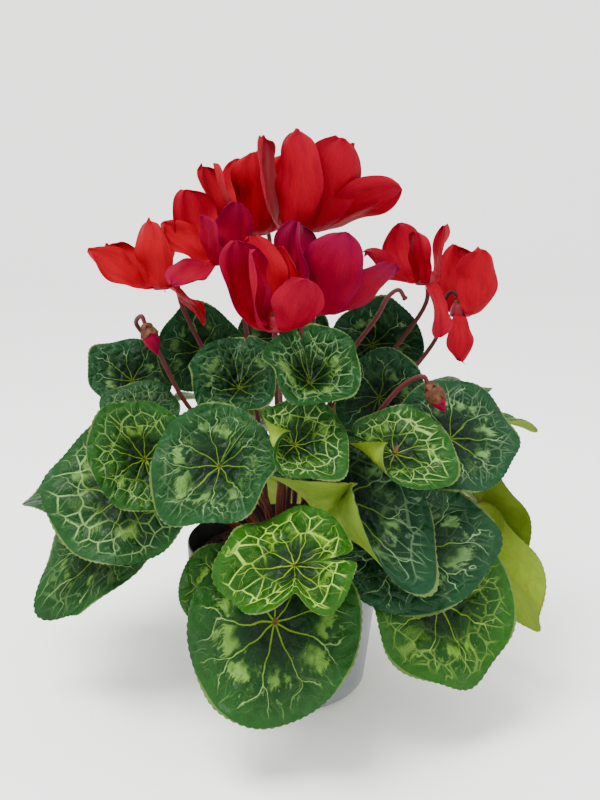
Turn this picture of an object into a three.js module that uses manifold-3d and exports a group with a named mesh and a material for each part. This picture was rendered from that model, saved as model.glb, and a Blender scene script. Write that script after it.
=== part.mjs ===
// Potted cyclamen: a florist's cyclamen in its black growing pot, which stands in a light grey
// tapered cover pot. Millimetres, +Z up. The origin is the centre of the cover pot's flat base,
// and the plant's front looks along -Y.
import * as THREE from "three";
import { mergeVertices } from "three/addons/utils/BufferGeometryUtils.js";
import Module from "manifold-3d";

const wasm = await Module();
wasm.setup();

// ---------------------------------------------------------------- driving dimensions
const GAP = 0.3; // left between pieces that touch
const ROUND_SIDES = 28; // round a pot
const SHORT_EDGE = 0.02;

const COVER_POT = { baseRadius: 45.4, rimRadius: 53.6, height: 70, wall: 1.5, floor: 2, footRound: 4 };
const GROWING_POT = { baseRadius: 39, shoulderRadius: 50.6, lipRadius: 54.4, height: 84, wall: 1.3 };
const COMPOST_TOP = 75;
const TUBER = { radius: 25, crown: 21, top: 82, belly: 74, bottom: 60, sides: 14 };
const CROWN = { slots: 54, pitch: 2.6, depth: 4 }; // stems spring from the tuber as seeds do in a sunflower

const LEAF = { thickness: 0.8, sinus: 4, sinusWidth: 4, notch: 0.035, farFrom: -30 };
const NEAR_MESH = { rays: 17, rings: [0, 0.4, 0.75, 1] };
const FAR_MESH = { rays: 15, rings: [0, 0.5, 1] }; // of leaves whose petiole ends behind y = farFrom
const PETIOLE = { radius: 1.4, sides: 4, steps: 4, rise: 34, lean: 0.15 };
const ROOT_HOLE = { radius: 2.1, sides: 4, deeper: 0.5, length: 16 };
const PETAL = {
  thickness: 0.8, columns: [-1, 0, 1], rows: [0, 0.18, 0.48, 0.8, 1], claw: 0.26, twist: 34, hollow: 0.12,
};
const CROWN_TUBE = { mouth: 3.4, rim: 5.8, top: 7.5 }; // the short tube that a bloom's petals fold back from
const STALK = { radius: 1.3, sides: 4, stepsPerPoint: 2, waists: [0.35, 0.7] };

// How far a piece may shift to clear the pieces already placed.
const PUSHES = [0]; // a blade along its own face, a bloom along -Y
for (let push = 1.5; push <= 24; push += 1.5) PUSHES.push(push, -push);
const SWAYS = [0, 4, -4, 8, -8, 12, -12, 16, -16, 20, -20, 26, -26]; // a stem, to its side
const RISES = [0, 12, -10, 24, -20]; // a stem, upwards

// ---------------------------------------------------------------- leaves
// at: where the petiole meets the blade; tip: where the blade points; face: the way its upper side
// looks. Slopes in degrees: cone at the middle, cup towards the margin, fold of both sides along the
// midrib, drop of the tip, heel of the lobes beside the petiole, wave round the margin. curls roll the
// margin over: at which side, over what span, by what turn, and from what share of the way out.
// arch lifts the petiole on its way over the rim; back is how far it comes from behind the blade. apex is
// how far the tip stands out of the round, and a bay draws the margin in, both as shares of the length.
const PLAIN = {
  width: 1, cone: 6, cup: 0, fold: 6, drop: -14, heel: 0, wave: 8, lobes: 5, phase: 0, curls: [],
  arch: 0, back: 16, apex: 0.13, bays: [],
};
const LEAVES = [
  // the far side, which stands up behind the blooms
  { at: [49, 30, 188], tip: [50, 16, 220], face: [0.1, -0.8, 0.6], cone: 12, phase: 40 },
  { at: [-47, 26, 186], tip: [-54, 18, 216], face: [-0.1, -0.7, 0.7], cone: 16, back: 26, phase: 10 },
  { at: [51, -2, 165], tip: [54, -4, 196], face: [0.1, -0.8, 0.6], cone: 16, phase: 90 },
  { at: [-38, 84, 96], tip: [-60, 122, 64], face: [-0.3, 0.8, 0.5], arch: 20, phase: 160 },
  { at: [42, 84, 94], tip: [64, 122, 62], face: [0.3, 0.8, 0.5], arch: 20, phase: 250 },
  { at: [-64, 52, 124], tip: [-100, 80, 106], face: [-0.4, 0.6, 0.6], length: 44, phase: 200 },
  { at: [-6, 78, 128], tip: [-10, 118, 108], face: [0, 0.7, 0.7], length: 42, phase: 70 },
  { at: [62, 50, 131], tip: [96, 82, 111], face: [0.4, 0.6, 0.6], length: 46, phase: 310 },
  { at: [-34, 68, 146], tip: [-58, 100, 140], face: [-0.3, 0.4, 0.85], phase: 20 },
  { at: [32, 68, 150], tip: [44, 106, 140], face: [0.1, 0.4, 0.9], phase: 130 },
  { at: [-2, 50, 188], tip: [-4, 41, 220], face: [0.05, -0.8, 0.6], cone: 10, back: 26, arch: -12, phase: 300 },
  { at: [2, 92, 86], tip: [4, 122, 50], face: [0, 0.85, 0.5], arch: 20, phase: 110 },
  // the right side, from its back
  { at: [95, 38, 158], tip: [120, 44, 158], face: [0.3, 0.1, 0.9], phase: 120 },
  { at: [104, 6, 151], tip: [138, 2, 147], face: [0.3, 0.2, 0.9], width: 0.7, phase: 220 },
  {
    at: [107, -8, 106], tip: [132, -18, 68], face: [0.85, 0.4, 0.3], length: 43, width: 0.85, arch: 10,
    phase: 30,
  },
  { at: [112, -26, 80], tip: [134, -40, 45], face: [0.8, 0.5, 0.3], width: 0.8, arch: 20, phase: 80 },
  { at: [77, -65, 76], tip: [97, -85, 36], face: [0.25, -0.85, 0.45], length: 46, arch: 24, phase: 240 },
  {
    at: [60, -62, 104], tip: [110, -60, 106], face: [0.3, -0.85, 0.4], length: 50, width: 0.8, arch: 16,
    phase: 20,
  },
  { at: [83, -46, 155], tip: [120, -40, 153], face: [0.35, -0.7, 0.6], phase: 190 },
  // the left side, from its back
  { at: [-84, 14, 171], tip: [-106, 14, 189], face: [-0.3, -0.5, 0.8], phase: 60 },
  { at: [-104, 12, 106], tip: [-146, 0, 104], face: [-0.3, -0.3, 0.8], width: 0.8, phase: 0 },
  { at: [-75, -12, 158], tip: [-98, -6, 166], face: [-0.2, -0.5, 0.85], phase: 140 },
  {
    at: [-90, -30, 96], tip: [-134, -38, 48], face: [-0.35, -0.85, 0.35], length: 60, width: 0.5, wave: 12,
    arch: 10, phase: 170,
  },
  { at: [-80, -40, 124], tip: [-126, -36, 127], face: [-0.25, -0.8, 0.5], phase: 45 },
  { at: [-69, -50, 146], tip: [-86, -48, 170], face: [-0.2, -0.7, 0.7], length: 35, cone: 22, phase: 100 },
  // low on the near side
  {
    at: [27, -66, 127], tip: [77, -92, 84], face: [0.25, -0.8, 0.55], length: 60, width: 0.74, heel: -35,
    wave: 4, curls: [{ at: -85, span: 48, turn: 160, from: 0.28, to: 0.54 }],
    mesh: { rings: [0, 0.28, 0.41, 0.54, 1] },
  },
  {
    at: [-27, -58, 80], tip: [-37, -68, 40], face: [-0.1, -0.9, 0.35], length: 31, heel: -50, wave: 12,
    arch: 20, phase: 60,
  },
  {
    at: [-3, -93, 79], tip: [-16, -117, 24], face: [-0.05, -0.8, 0.6], length: 49, width: 0.88, heel: -75,
    wave: 12, arch: 26, phase: 150, apex: 0.02,
  },
  {
    at: [6, -116, 118], tip: [-32, -120, 114], face: [-0.1, -0.7, 0.7], length: 37, width: 0.9, fold: -4,
    wave: 26, lobes: 4, phase: 200, bays: [{ at: 84, span: 20, depth: 0.45 }],
  },
  // high on the near side, from the middle outwards
  {
    at: [-22, -31, 177], tip: [-29, -57, 158], face: [-0.05, -0.6, 0.8], length: 35, cone: 34, drop: -24,
    wave: 12, phase: 15,
  },
  {
    at: [13, -57, 183], tip: [20, -84, 163], face: [0.05, -0.6, 0.8], length: 36, cone: 38, drop: -14,
    wave: 10, arch: -14, phase: 75,
  },
  {
    at: [54, -64, 149], tip: [81, -76, 143], face: [0.2, -0.65, 0.72], length: 32, arch: 20, phase: 330,
    curls: [{ at: -115, span: 40, turn: 130, from: 0.35, to: 0.75 }],
  },
  {
    at: [6, -83, 163], tip: [26, -96, 153], face: [0.1, -0.65, 0.75], length: 29, cone: 14, phase: 260,
    curls: [{ at: -125, span: 40, turn: 140, from: 0.35, to: 0.75 }],
  },
  {
    at: [-29, -80, 152], tip: [-57, -94, 127], face: [-0.15, -0.8, 0.58], length: 37, cone: 14, wave: 12,
    phase: 280,
  },
];

const BEHIND_BLOOMS = 29; // leaves that settle before the blooms and their stalks

// ---------------------------------------------------------------- blooms, buds and stalks
// mouth: the middle of the dark mouth, which looks down; sweep: the way the petals stand back from it;
// gap: the side where the stalk passes in. A petal is [side, stand, flare, length]: the side it leaves
// to, its slope past the claw and at its tip, in degrees, and millimetres. Sides are angles round the
// sweep, 0 to the right and 270 to the front.
const BLOOMS = [
  {
    mouth: [-15, 26, 249], sweep: [-0.1, 0.1, 1], gap: 60,
    petals: [[180, 62, 80, 46], [225, 62, 80, 46], [280, 66, 84, 48], [330, 62, 82, 48], [110, 68, 86, 50]],
  },
  {
    mouth: [7, -6, 254], sweep: [0.1, 0, 1], gap: 90,
    petals: [[350, 38, 30, 54], [25, 62, 84, 54], [200, 66, 84, 52], [262, 68, 86, 56], [310, 64, 82, 56]],
  },
  {
    mouth: [75, 6, 225], sweep: [0, 0.1, 1], gap: 80,
    petals: [[190, 30, 36, 34], [250, 60, 78, 32], [135, 62, 84, 38], [40, 76, 90, 34], [285, -46, -80, 34]],
  },
  {
    mouth: [96, 18, 206], sweep: [0, 0.1, 1], gap: 150,
    petals: [[90, 68, 86, 44], [40, 66, 84, 38], [305, 72, 88, 40], [350, 68, 88, 28], [262, -56, -76, 28]],
  },
  {
    mouth: [-63, 0, 224], sweep: [-0.1, 0, 1], gap: 60,
    petals: [[198, 38, 46, 40], [165, 48, 60, 34], [268, 68, 88, 42], [110, 66, 84, 36], [312, -30, -44, 32]],
  },
  {
    mouth: [-31, -14, 238], sweep: [-0.1, 0, 1], gap: 60,
    petals: [[180, 50, 46, 34], [145, 68, 86, 44], [226, -8, -16, 30], [255, 60, 70, 32], [320, 72, 88, 34]],
  },
  {
    mouth: [-2, -57, 212], sweep: [-0.05, 0, 1], gap: 25,
    petals: [[300, 44, 60, 38], [210, 82, 96, 42], [165, 74, 86, 48], [125, 72, 86, 48], [80, 72, 88, 42]],
  },
  {
    mouth: [16, -37, 217], sweep: [0.15, 0, 1], gap: 90,
    petals: [[150, 72, 88, 46], [218, 74, 88, 48], [285, 64, 80, 50], [345, 46, 52, 44], [20, 40, 40, 36]],
  },
];
const PETAL_WIDTH = 0.58; // of its length
const BUDS = [
  {
    base: [-70, -22, 208], tip: [-64, -24, 193], radius: 4.5,
    by: [[-54, -12, 168], [-67, -9, 193], [-76, -15, 208]],
  },
  { base: [71, -52, 184], tip: [79, -53, 171], radius: 4.5, by: [[44, -40, 162], [60, -48, 184]] },
];
const SPENT_STALK = [[34, -12, 190], [48, -14, 211], [54, -14, 222], [59, -14, 225], [62, -14, 221]];
const DRIED_STEMS = { base: [29, -31, 76.5], radius: 1.1, side: [-46, -40, -53], fall: [62, 70, 74] };

// ---------------------------------------------------------------- finish
const finish = (color, roughness, metalness = 0) => ({ color, roughness, metalness });
const FINISHES = {
  cover: finish(0xc9c9c6, 0.45),
  black: finish(0x17181a, 0.35),
  soil: finish(0x2b1d14, 0.95),
  tuber: finish(0x6a4a33, 0.85),
  leaf: finish(0x2c6a3c, 0.55),
  petal: finish(0xd8082c, 0.5),
  stalk: finish(0x6d3630, 0.55),
  bud: finish(0xd23a5f, 0.5),
  dried: finish(0x4a3023, 0.9),
};

// ---------------------------------------------------------------- geometry helpers
const radians = THREE.MathUtils.degToRad;
const point = (values) => new THREE.Vector3(...values);
const UP = point([0, 0, 1]);
const smooth = (share) => THREE.MathUtils.smoothstep(share, 0, 1);

function solidOf(geometry) {
  const bare = geometry.clone();
  bare.deleteAttribute("normal");
  bare.deleteAttribute("uv");
  const merged = mergeVertices(bare, 1e-4);
  const corners = merged.index.array;
  const triVerts = [];
  for (let i = 0; i < corners.length; i += 3) {
    const [a, b, c] = [corners[i], corners[i + 1], corners[i + 2]];
    if (a !== b && b !== c && c !== a) triVerts.push(a, b, c);
  }
  return new wasm.Manifold(
    new wasm.Mesh({
      numProp: 3,
      vertProperties: merged.attributes.position.array,
      triVerts: new Uint32Array(triVerts),
    }),
  );
}

function geometryOf(solid) {
  const mesh = solid.getMesh();
  const geometry = new THREE.BufferGeometry();
  geometry.setAttribute("position", new THREE.BufferAttribute(new Float32Array(mesh.vertProperties), 3));
  geometry.setIndex(new THREE.BufferAttribute(new Uint32Array(mesh.triVerts), 1));
  geometry.computeVertexNormals();
  return geometry;
}

// Pieces fused to one closed body: a hollow shut in between them is filled, a loose scrap is left out, and
// edges too short to tell apart are drawn together.
function joined(solids) {
  const bodies = solids.reduce((all, one) => all.add(one)).simplify(SHORT_EDGE).decompose();
  return bodies.reduce((largest, body) => (body.volume() > largest.volume() ? body : largest));
}

// A solid turned about the Z axis from [radius, height] points, which start and end on the axis.
function turned(profile, sides = ROUND_SIDES) {
  const points = profile.map(([radius, height]) => new THREE.Vector2(radius, height));
  return solidOf(new THREE.LatheGeometry(points, sides).rotateX(Math.PI / 2));
}

// A smooth curve whose steps are shared out evenly between its points, so that short bends get their own.
function curveThrough(points) {
  const curve = new THREE.CatmullRomCurve3(points);
  curve.getUtoTmapping = (share) => share;
  return curve;
}

function tube(path, radius, sides, steps) {
  const ring = new THREE.Shape();
  for (let side = 0; side < sides; side++) {
    const angle = (2 * Math.PI * side) / sides;
    if (side) ring.lineTo(radius * Math.cos(angle), radius * Math.sin(angle));
    else ring.moveTo(radius, 0);
  }
  ring.closePath();
  return solidOf(new THREE.ExtrudeGeometry(ring, { steps, bevelEnabled: false, extrudePath: path }));
}

// A thin sheet with both faces split alike: rows of points across, each { at, out }, thickened by half
// the thickness to each side along out. A row whose points all meet closes to a fan.
function sheet(rows, thickness) {
  const across = rows[0].length;
  const vertices = [];
  for (const side of [0.5, -0.5])
    for (const row of rows)
      for (const { at, out } of row) vertices.push(...at.clone().addScaledVector(out, side * thickness));
  const index = (face, row, column) => (face * rows.length + row) * across + column;
  const corners = [];
  const quad = (a, b, c, d) => corners.push(a, b, c, a, c, d);
  const last = { row: rows.length - 1, column: across - 1 };
  for (let r = 0; r < last.row; r++)
    for (let c = 0; c < last.column; c++) {
      quad(index(0, r, c), index(0, r + 1, c), index(0, r + 1, c + 1), index(0, r, c + 1));
      const [a, b, d, e] = [index(1, r, c), index(1, r + 1, c), index(1, r + 1, c + 1), index(1, r, c + 1)];
      corners.push(a, d, b, a, e, d);
    }
  const edge = (r0, c0, r1, c1) =>
    quad(index(0, r0, c0), index(1, r0, c0), index(1, r1, c1), index(0, r1, c1));
  for (let c = 0; c < last.column; c++) {
    edge(last.row, c, last.row, c + 1);
    edge(0, c + 1, 0, c);
  }
  for (let r = 0; r < last.row; r++) {
    edge(r, 0, r + 1, 0);
    edge(r + 1, last.column, r, last.column);
  }
  const geometry = new THREE.BufferGeometry();
  geometry.setAttribute("position", new THREE.Float32BufferAttribute(vertices, 3));
  geometry.setIndex(corners);
  return solidOf(geometry);
}

// The same point function gives a sheet's points and, by small steps to both sides, its outward way.
function sheetPoint(place, row, column, step) {
  const alongRow = place(row, column + step).sub(place(row, column - step));
  const alongColumn = place(row + step, column).sub(place(row - step, column));
  return { at: place(row, column), out: alongColumn.cross(alongRow).normalize() };
}

// ---------------------------------------------------------------- keeping clear of each other
const placed = []; // every solid so far, a little fattened where it is thin
const nodes = []; // [name, solid, finish]

function isClear(solid) {
  const box = solid.boundingBox();
  const apart = (other) => [0, 1, 2].some((i) => box.max[i] < other.min[i] || box.min[i] > other.max[i]);
  return placed.every(({ body, bounds }) => apart(bounds) || body.intersect(solid).isEmpty());
}

function keep(name, solid, look, guard = solid) {
  nodes.push([name, solid, look]);
  placed.push({ body: guard, bounds: guard.boundingBox() });
}

// The first pair of a rise and a sway whose stem runs clear of everything placed so far.
function clearStem(makeStem) {
  for (const rise of RISES)
    for (const sway of SWAYS) {
      const stem = makeStem(rise, sway, 0);
      if (isClear(stem)) return { stem, guard: makeStem(rise, sway, GAP) };
    }
  return null;
}

// ---------------------------------------------------------------- pots, compost and tuber
function coverPot() {
  const { baseRadius, rimRadius, height, wall, floor, footRound } = COVER_POT;
  const profile = [[0, 0], [baseRadius - footRound, 0]];
  for (const angle of [30, 60, 90]) {
    const turn = radians(angle);
    profile.push([
      baseRadius - footRound * (1 - Math.sin(turn)),
      footRound * (1 - Math.cos(turn)),
    ]);
  }
  profile.push([rimRadius, height], [rimRadius - wall, height], [baseRadius - wall, footRound + floor]);
  profile.push([baseRadius - wall - footRound, floor], [0, floor]);
  return turned(profile);
}

function growingPot() {
  const { baseRadius, shoulderRadius, lipRadius, height, wall } = GROWING_POT;
  const base = COVER_POT.floor + GAP;
  const shoulder = COVER_POT.height + GAP;
  return turned([
    [0, base], [baseRadius, base], [shoulderRadius, shoulder], [lipRadius - 0.4, shoulder],
    [lipRadius, height - 1], [lipRadius - 0.6, height], [lipRadius - wall, height - 0.4],
    [lipRadius - 2 * wall, shoulder + 2], [shoulderRadius - wall, shoulder - 2],
    [baseRadius - wall, base + wall], [0, base + wall],
  ]);
}

function tuberBody(spare = 0) {
  const { radius, crown, top, belly, bottom, sides } = TUBER;
  const profile = [[0, bottom - spare], [radius * 0.6, bottom + 2 - spare], [radius + spare, belly - 4]];
  profile.push([radius + spare, belly + 2], [crown, top + spare], [0, top + spare]);
  return turned(profile, sides);
}

function compostBody() {
  const { baseRadius, shoulderRadius, wall } = GROWING_POT;
  const inset = wall + GAP;
  const base = COVER_POT.floor + GAP + inset;
  const edge = COMPOST_TOP;
  const side = shoulderRadius - inset;
  const profile = [[0, base], [baseRadius - inset, base], [side, COVER_POT.height - 2]];
  profile.push([side + 0.6, edge - 1], [side - 4, edge + 0.6]);
  profile.push([38, edge - 1], [31, edge + 1.2], [24, edge], [0, edge]);
  return turned(profile);
}

// ---------------------------------------------------------------- roots on the crown
const slots = [];
for (let i = 0; i < CROWN.slots; i++) {
  const radius = CROWN.pitch * Math.sqrt(i + 0.5);
  const angle = i * Math.PI * (3 - Math.sqrt(5));
  slots.push(point([radius * Math.cos(angle), radius * Math.sin(angle), TUBER.top - CROWN.depth]));
}
const rootHoles = [];

// The free slot nearest to the way that a stem leaves, taken for it.
function claimRoot(towards, reach) {
  const wanted = Math.min(CROWN.pitch * Math.sqrt(CROWN.slots), reach);
  const aim = point([towards.x, towards.y, 0]).setLength(wanted);
  const distance = (slot) => Math.hypot(slot.x - aim.x, slot.y - aim.y);
  const best = slots.reduce((a, b) => (distance(b) < distance(a) ? b : a));
  return slots.splice(slots.indexOf(best), 1)[0];
}

// ---------------------------------------------------------------- one leaf
function bladeRadius(leaf, angle) {
  const fromTip = Math.abs(angle);
  let outline = 1 + leaf.apex * (Math.exp(-((fromTip / 18) ** 2)) - 1) - 0.12 * (fromTip / 180) ** 2;
  for (const { at, span, depth } of leaf.bays) outline -= depth * Math.exp(-(((angle - at) / span) ** 2));
  return leaf.length * outline * Math.tanh(Math.max(0, 180 - fromTip) / LEAF.sinusWidth);
}

function bladeSlope(leaf, angle, share) {
  const turn = radians(angle);
  const ahead = Math.max(0, Math.cos(turn)) ** 2;
  let slope = leaf.cone + leaf.cup * share + leaf.fold * Math.sin(turn) ** 2 + leaf.drop * ahead * share;
  slope += leaf.wave * share * Math.sin(leaf.lobes * turn + radians(leaf.phase));
  slope += leaf.heel * Math.max(0, -Math.cos(turn)) ** 1.5 * smooth(share / 0.5);
  for (const { at, span, turn: roll, from = 0.3, to = 1 } of leaf.curls)
    slope += roll * Math.exp(-(((angle - at) / span) ** 2)) * smooth((share - from) / (to - from));
  return radians(slope);
}

// A point of the blade in its own frame: x along the midrib, y to its left, z out of the upper side.
function bladePoint(leaf, share, angle) {
  const steps = 24;
  const length = (bladeRadius(leaf, angle) * share) / steps;
  let [out, high] = [0, 0];
  for (let i = 0; i < steps; i++) {
    const slope = bladeSlope(leaf, angle, (share * (i + 0.5)) / steps);
    out += length * Math.cos(slope);
    high += length * Math.sin(slope);
  }
  const turn = radians(angle);
  return point([out * Math.cos(turn), leaf.width * out * Math.sin(turn), high]);
}

function bladeFrame(leaf, push) {
  const ahead = point(leaf.tip).sub(point(leaf.at)).normalize();
  const face = point(leaf.face);
  face.addScaledVector(ahead, -face.dot(ahead)).normalize();
  const origin = point(leaf.at).addScaledVector(face, push);
  return new THREE.Matrix4().makeBasis(ahead, face.clone().cross(ahead), face).setPosition(origin);
}

function blade(leaf, frame, thickness) {
  const { rays, rings } = { ...(leaf.at[1] > LEAF.farFrom ? FAR_MESH : NEAR_MESH), ...leaf.mesh };
  const rows = rings.map((ring, r) => {
    const row = [];
    for (let ray = 0; ray < rays; ray++) {
      const angle = (180 - LEAF.sinus) * ((2 * ray) / (rays - 1) - 1);
      const toothed = r === rings.length - 1 && ray % 2 === 0;
      const share = toothed ? ring - LEAF.notch : ring;
      const place = (s, a) => bladePoint(leaf, s, a * 180);
      const spot = sheetPoint(place, share, angle / 180, 0.01);
      row.push(r ? spot : { at: point([0, 0, 0]), out: UP.clone() });
    }
    return row;
  });
  for (const row of rows)
    for (const spot of row) {
      spot.at.applyMatrix4(frame);
      spot.out.transformDirection(frame);
    }
  return sheet(rows, thickness);
}

function petiole(leaf, frame, root, rise, sway, spare) {
  const end = new THREE.Vector3().setFromMatrixPosition(frame);
  const face = new THREE.Vector3().setFromMatrixColumn(frame, 2);
  const away = end.clone().sub(root);
  const height = PETIOLE.rise + rise + Math.max(0, away.z) * 0.2;
  away.setZ(0);
  const aside = away.clone().normalize().cross(UP);
  const first = root.clone().addScaledVector(away, PETIOLE.lean).addScaledVector(UP, height);
  first.addScaledVector(aside, sway);
  const second = end.clone().addScaledVector(face, -leaf.back).addScaledVector(UP, leaf.arch + rise * 0.5);
  second.addScaledVector(aside, sway * 0.6);
  const path = new THREE.CubicBezierCurve3(root, first, second, end);
  return { path, body: tube(path, PETIOLE.radius + spare, PETIOLE.sides, PETIOLE.steps) };
}

// The plain hole in the crown that a stem stands in, along the stem's first step.
function rootHole(path, steps) {
  const start = path.getPointAt(0);
  const way = path.getPointAt(1 / steps).sub(start).normalize();
  const line = new THREE.LineCurve3(
    start.clone().addScaledVector(way, -ROOT_HOLE.deeper),
    start.clone().addScaledVector(way, ROOT_HOLE.length),
  );
  return tube(line, ROOT_HOLE.radius, ROOT_HOLE.sides, 1);
}

function placeLeaf(leafRow, name) {
  const leaf = { ...PLAIN, ...leafRow };
  leaf.length ??= point(leaf.tip).distanceTo(point(leaf.at));
  const root = claimRoot(point(leaf.at), leaf.at[2] > 150 ? 11 : 19);
  for (const push of PUSHES) {
    const frame = bladeFrame(leaf, push);
    const body = blade(leaf, frame, LEAF.thickness);
    if (!isClear(body)) continue;
    let path;
    const found = clearStem((rise, sway, spare) => {
      const made = petiole(leaf, frame, root, rise, sway, spare);
      path = made.path;
      return made.body;
    });
    if (!found) continue;
    rootHoles.push(rootHole(path, PETIOLE.steps));
    const guard = joined([blade(leaf, frame, LEAF.thickness + 2 * GAP), found.guard]);
    keep(name, joined([body, found.stem]), FINISHES.leaf, guard);
    return;
  }
  throw new Error(name + " finds no clear place");
}

// ---------------------------------------------------------------- one bloom and its stalk
// The bloom's own frame: z along the sweep, x to the right; turned is the same, with x to the gap.
function bloomFrame(bloom, push, side = 0) {
  const up = point(bloom.sweep).normalize();
  const right = point([1, 0, 0]).addScaledVector(up, -up.x).normalize();
  const frame = new THREE.Matrix4().makeBasis(right, up.clone().cross(right), up);
  frame.multiply(new THREE.Matrix4().makeRotationZ(radians(side)));
  return frame.setPosition(point(bloom.mouth).add(point([0, -push, 0])));
}

function petalWidth(along) {
  const widening = Math.sin((Math.PI / 2) * THREE.MathUtils.clamp(along / 0.62, 0, 1)) ** 1.3;
  const rounding = Math.sqrt(Math.max(0.02, 1 - Math.max(0, (along - 0.62) / 0.38) ** 2.2));
  return (PETAL.claw + (1 - PETAL.claw) * widening) * rounding;
}

// A point of a petal in the bloom's frame; across runs from -1 to 1.
function petalPoint([side, stand, flare, length], along, across) {
  const steps = 24;
  let [out, high] = [CROWN_TUBE.rim - 1.6, 1];
  let slope = 0;
  for (let i = 0; i < steps; i++) {
    const share = (along * (i + 0.5)) / steps;
    slope = THREE.MathUtils.lerp(-10, stand, smooth(share / 0.22));
    slope += (flare - stand) * smooth((share - 0.2) / 0.8);
    out += ((length * along) / steps) * Math.cos(radians(slope));
    high += ((length * along) / steps) * Math.sin(radians(slope));
  }
  const turn = radians(PETAL.twist) * smooth(along / 0.35);
  const half = 0.5 * PETAL_WIDTH * length * petalWidth(along) * across;
  const hollow = PETAL.hollow * PETAL_WIDTH * length * petalWidth(along) * across ** 2;
  const lean = radians(slope);
  const off = half * Math.sin(turn) - hollow;
  const spot = point([out + off * Math.sin(lean), half * Math.cos(turn), high - off * Math.cos(lean)]);
  return spot.applyAxisAngle(UP, radians(side));
}

function petalSolid(petal, frame, thickness) {
  const place = (along, across) => petalPoint(petal, along, across);
  const rows = PETAL.rows.map((along) =>
    PETAL.columns.map((across) => {
      const spot = sheetPoint(place, along, across, 0.01);
      spot.at.applyMatrix4(frame);
      spot.out.transformDirection(frame);
      return spot;
    }),
  );
  return sheet(rows, thickness);
}

function bloomSolid(bloom, frame, spare) {
  const { mouth, rim, top } = CROWN_TUBE;
  const profile = [[0, top], [rim - 1.6, top - 0.4], [rim, 0], [mouth, 0], [0, 4]];
  const petals = bloom.petals.map((petal) => petalSolid(petal, frame, PETAL.thickness + 2 * spare));
  return joined([turned(profile.reverse(), 6).transform(frame.elements), ...petals]);
}

// A stalk leaves its root upwards, bows at its two waists and then follows the points of its end.
function stalkPath(root, ending, rise, sway) {
  const away = ending[0].clone().sub(root);
  const aside = away.clone().setZ(0.001).normalize().cross(UP);
  const sprout = root.clone().add(point([away.x * 0.06, away.y * 0.06, 14]));
  const waists = STALK.waists.map((share, i) => {
    const waist = root.clone().addScaledVector(away, share).addScaledVector(aside, sway);
    return waist.add(point([-0.08 * away.x, -0.08 * away.y, i ? 0 : rise]));
  });
  return curveThrough([root, sprout, ...waists, ...ending]);
}

function placeStalk(name, root, ending, tip) {
  let [path, steps] = [];
  const found = clearStem((rise, sway, spare) => {
    path = stalkPath(root, ending, rise, sway);
    steps = STALK.stepsPerPoint * (path.points.length - 1);
    return tube(path, STALK.radius + spare, STALK.sides, steps);
  });
  if (!found) throw new Error(name + " finds no clear way");
  rootHoles.push(rootHole(path, steps));
  keep(name, joined([found.stem, ...tip]), FINISHES.stalk, joined([found.guard, ...tip]));
}

// The calyx that ends a stalk: a small cone from z = 0 down its own axis, seated on frame's z.
function calyx(frame, height) {
  const profile = [[0, 0], [3.2, 0], [2.8, 1.4], [0, 2.8]].map(([radius, z]) => [radius, z + height]);
  return turned(profile, 6).transform(frame.elements);
}

function placeBloom(bloom, name) {
  for (const push of PUSHES) {
    const frame = bloomFrame(bloom, push);
    const body = bloomSolid(bloom, frame, 0);
    if (!isClear(body)) continue;
    keep(name, body, FINISHES.petal, bloomSolid(bloom, frame, GAP));
    const gapFrame = bloomFrame(bloom, push, bloom.gap);
    const top = CROWN_TUBE.top + GAP;
    const ending = [[12.5, 0, -10], [11.5, 0, 3], [5.5, 0, top + 5], [0, 0, top + 2]];
    const inBloom = ending.map((spot) => point(spot).applyMatrix4(gapFrame));
    placeStalk(name + "_stalk", claimRoot(point(bloom.mouth), 5), inBloom, [calyx(frame, top)]);
    return;
  }
  throw new Error(name + " meets a neighbour");
}

// ---------------------------------------------------------------- buds and old stems
function placeBud(bud, name) {
  const base = point(bud.base);
  const way = point(bud.tip).sub(base);
  const length = way.length();
  way.normalize();
  const frame = new THREE.Matrix4().makeRotationFromQuaternion(
    new THREE.Quaternion().setFromUnitVectors(UP, way),
  );
  frame.setPosition(base);
  const profile = [];
  for (let i = 0; i <= 6; i++) {
    const share = i / 6;
    const radius = bud.radius * Math.sin(Math.PI * share ** 0.75) ** 0.8;
    profile.push([i % 6 ? radius : 0, share * length]);
  }
  keep(name, turned(profile, 8).transform(frame.elements), FINISHES.bud);
  const collar = frame.clone().multiply(new THREE.Matrix4().makeRotationX(Math.PI));
  const start = base.clone().addScaledVector(way, -1.5);
  const hook = base.clone().addScaledVector(way, -5);
  const ending = [...bud.by.map(point), hook, start];
  placeStalk(name + "_stalk", claimRoot(base, 9), ending, [calyx(collar, GAP)]);
}

function driedStems() {
  const { base, radius, side, fall } = DRIED_STEMS;
  const lip = GROWING_POT.lipRadius;
  const strands = side.map((angle, i) => {
    const spot = (out, z) => point([out * Math.cos(radians(angle)), out * Math.sin(radians(angle)), z]);
    const over = lip + radius + 2 * GAP;
    const onLip = spot(over, GROWING_POT.height + 1);
    const points = [point(base), spot(lip - 6, 88), onLip, spot(over + 1, fall[i])];
    return tube(curveThrough(points), radius, 4, 4);
  });
  return joined(strands);
}

// ---------------------------------------------------------------- assembly
keep("cover_pot", coverPot(), FINISHES.cover);
keep("growing_pot", growingPot(), FINISHES.black);
const compost = compostBody().subtract(tuberBody(GAP));
keep("compost", compost, FINISHES.soil);

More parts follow.
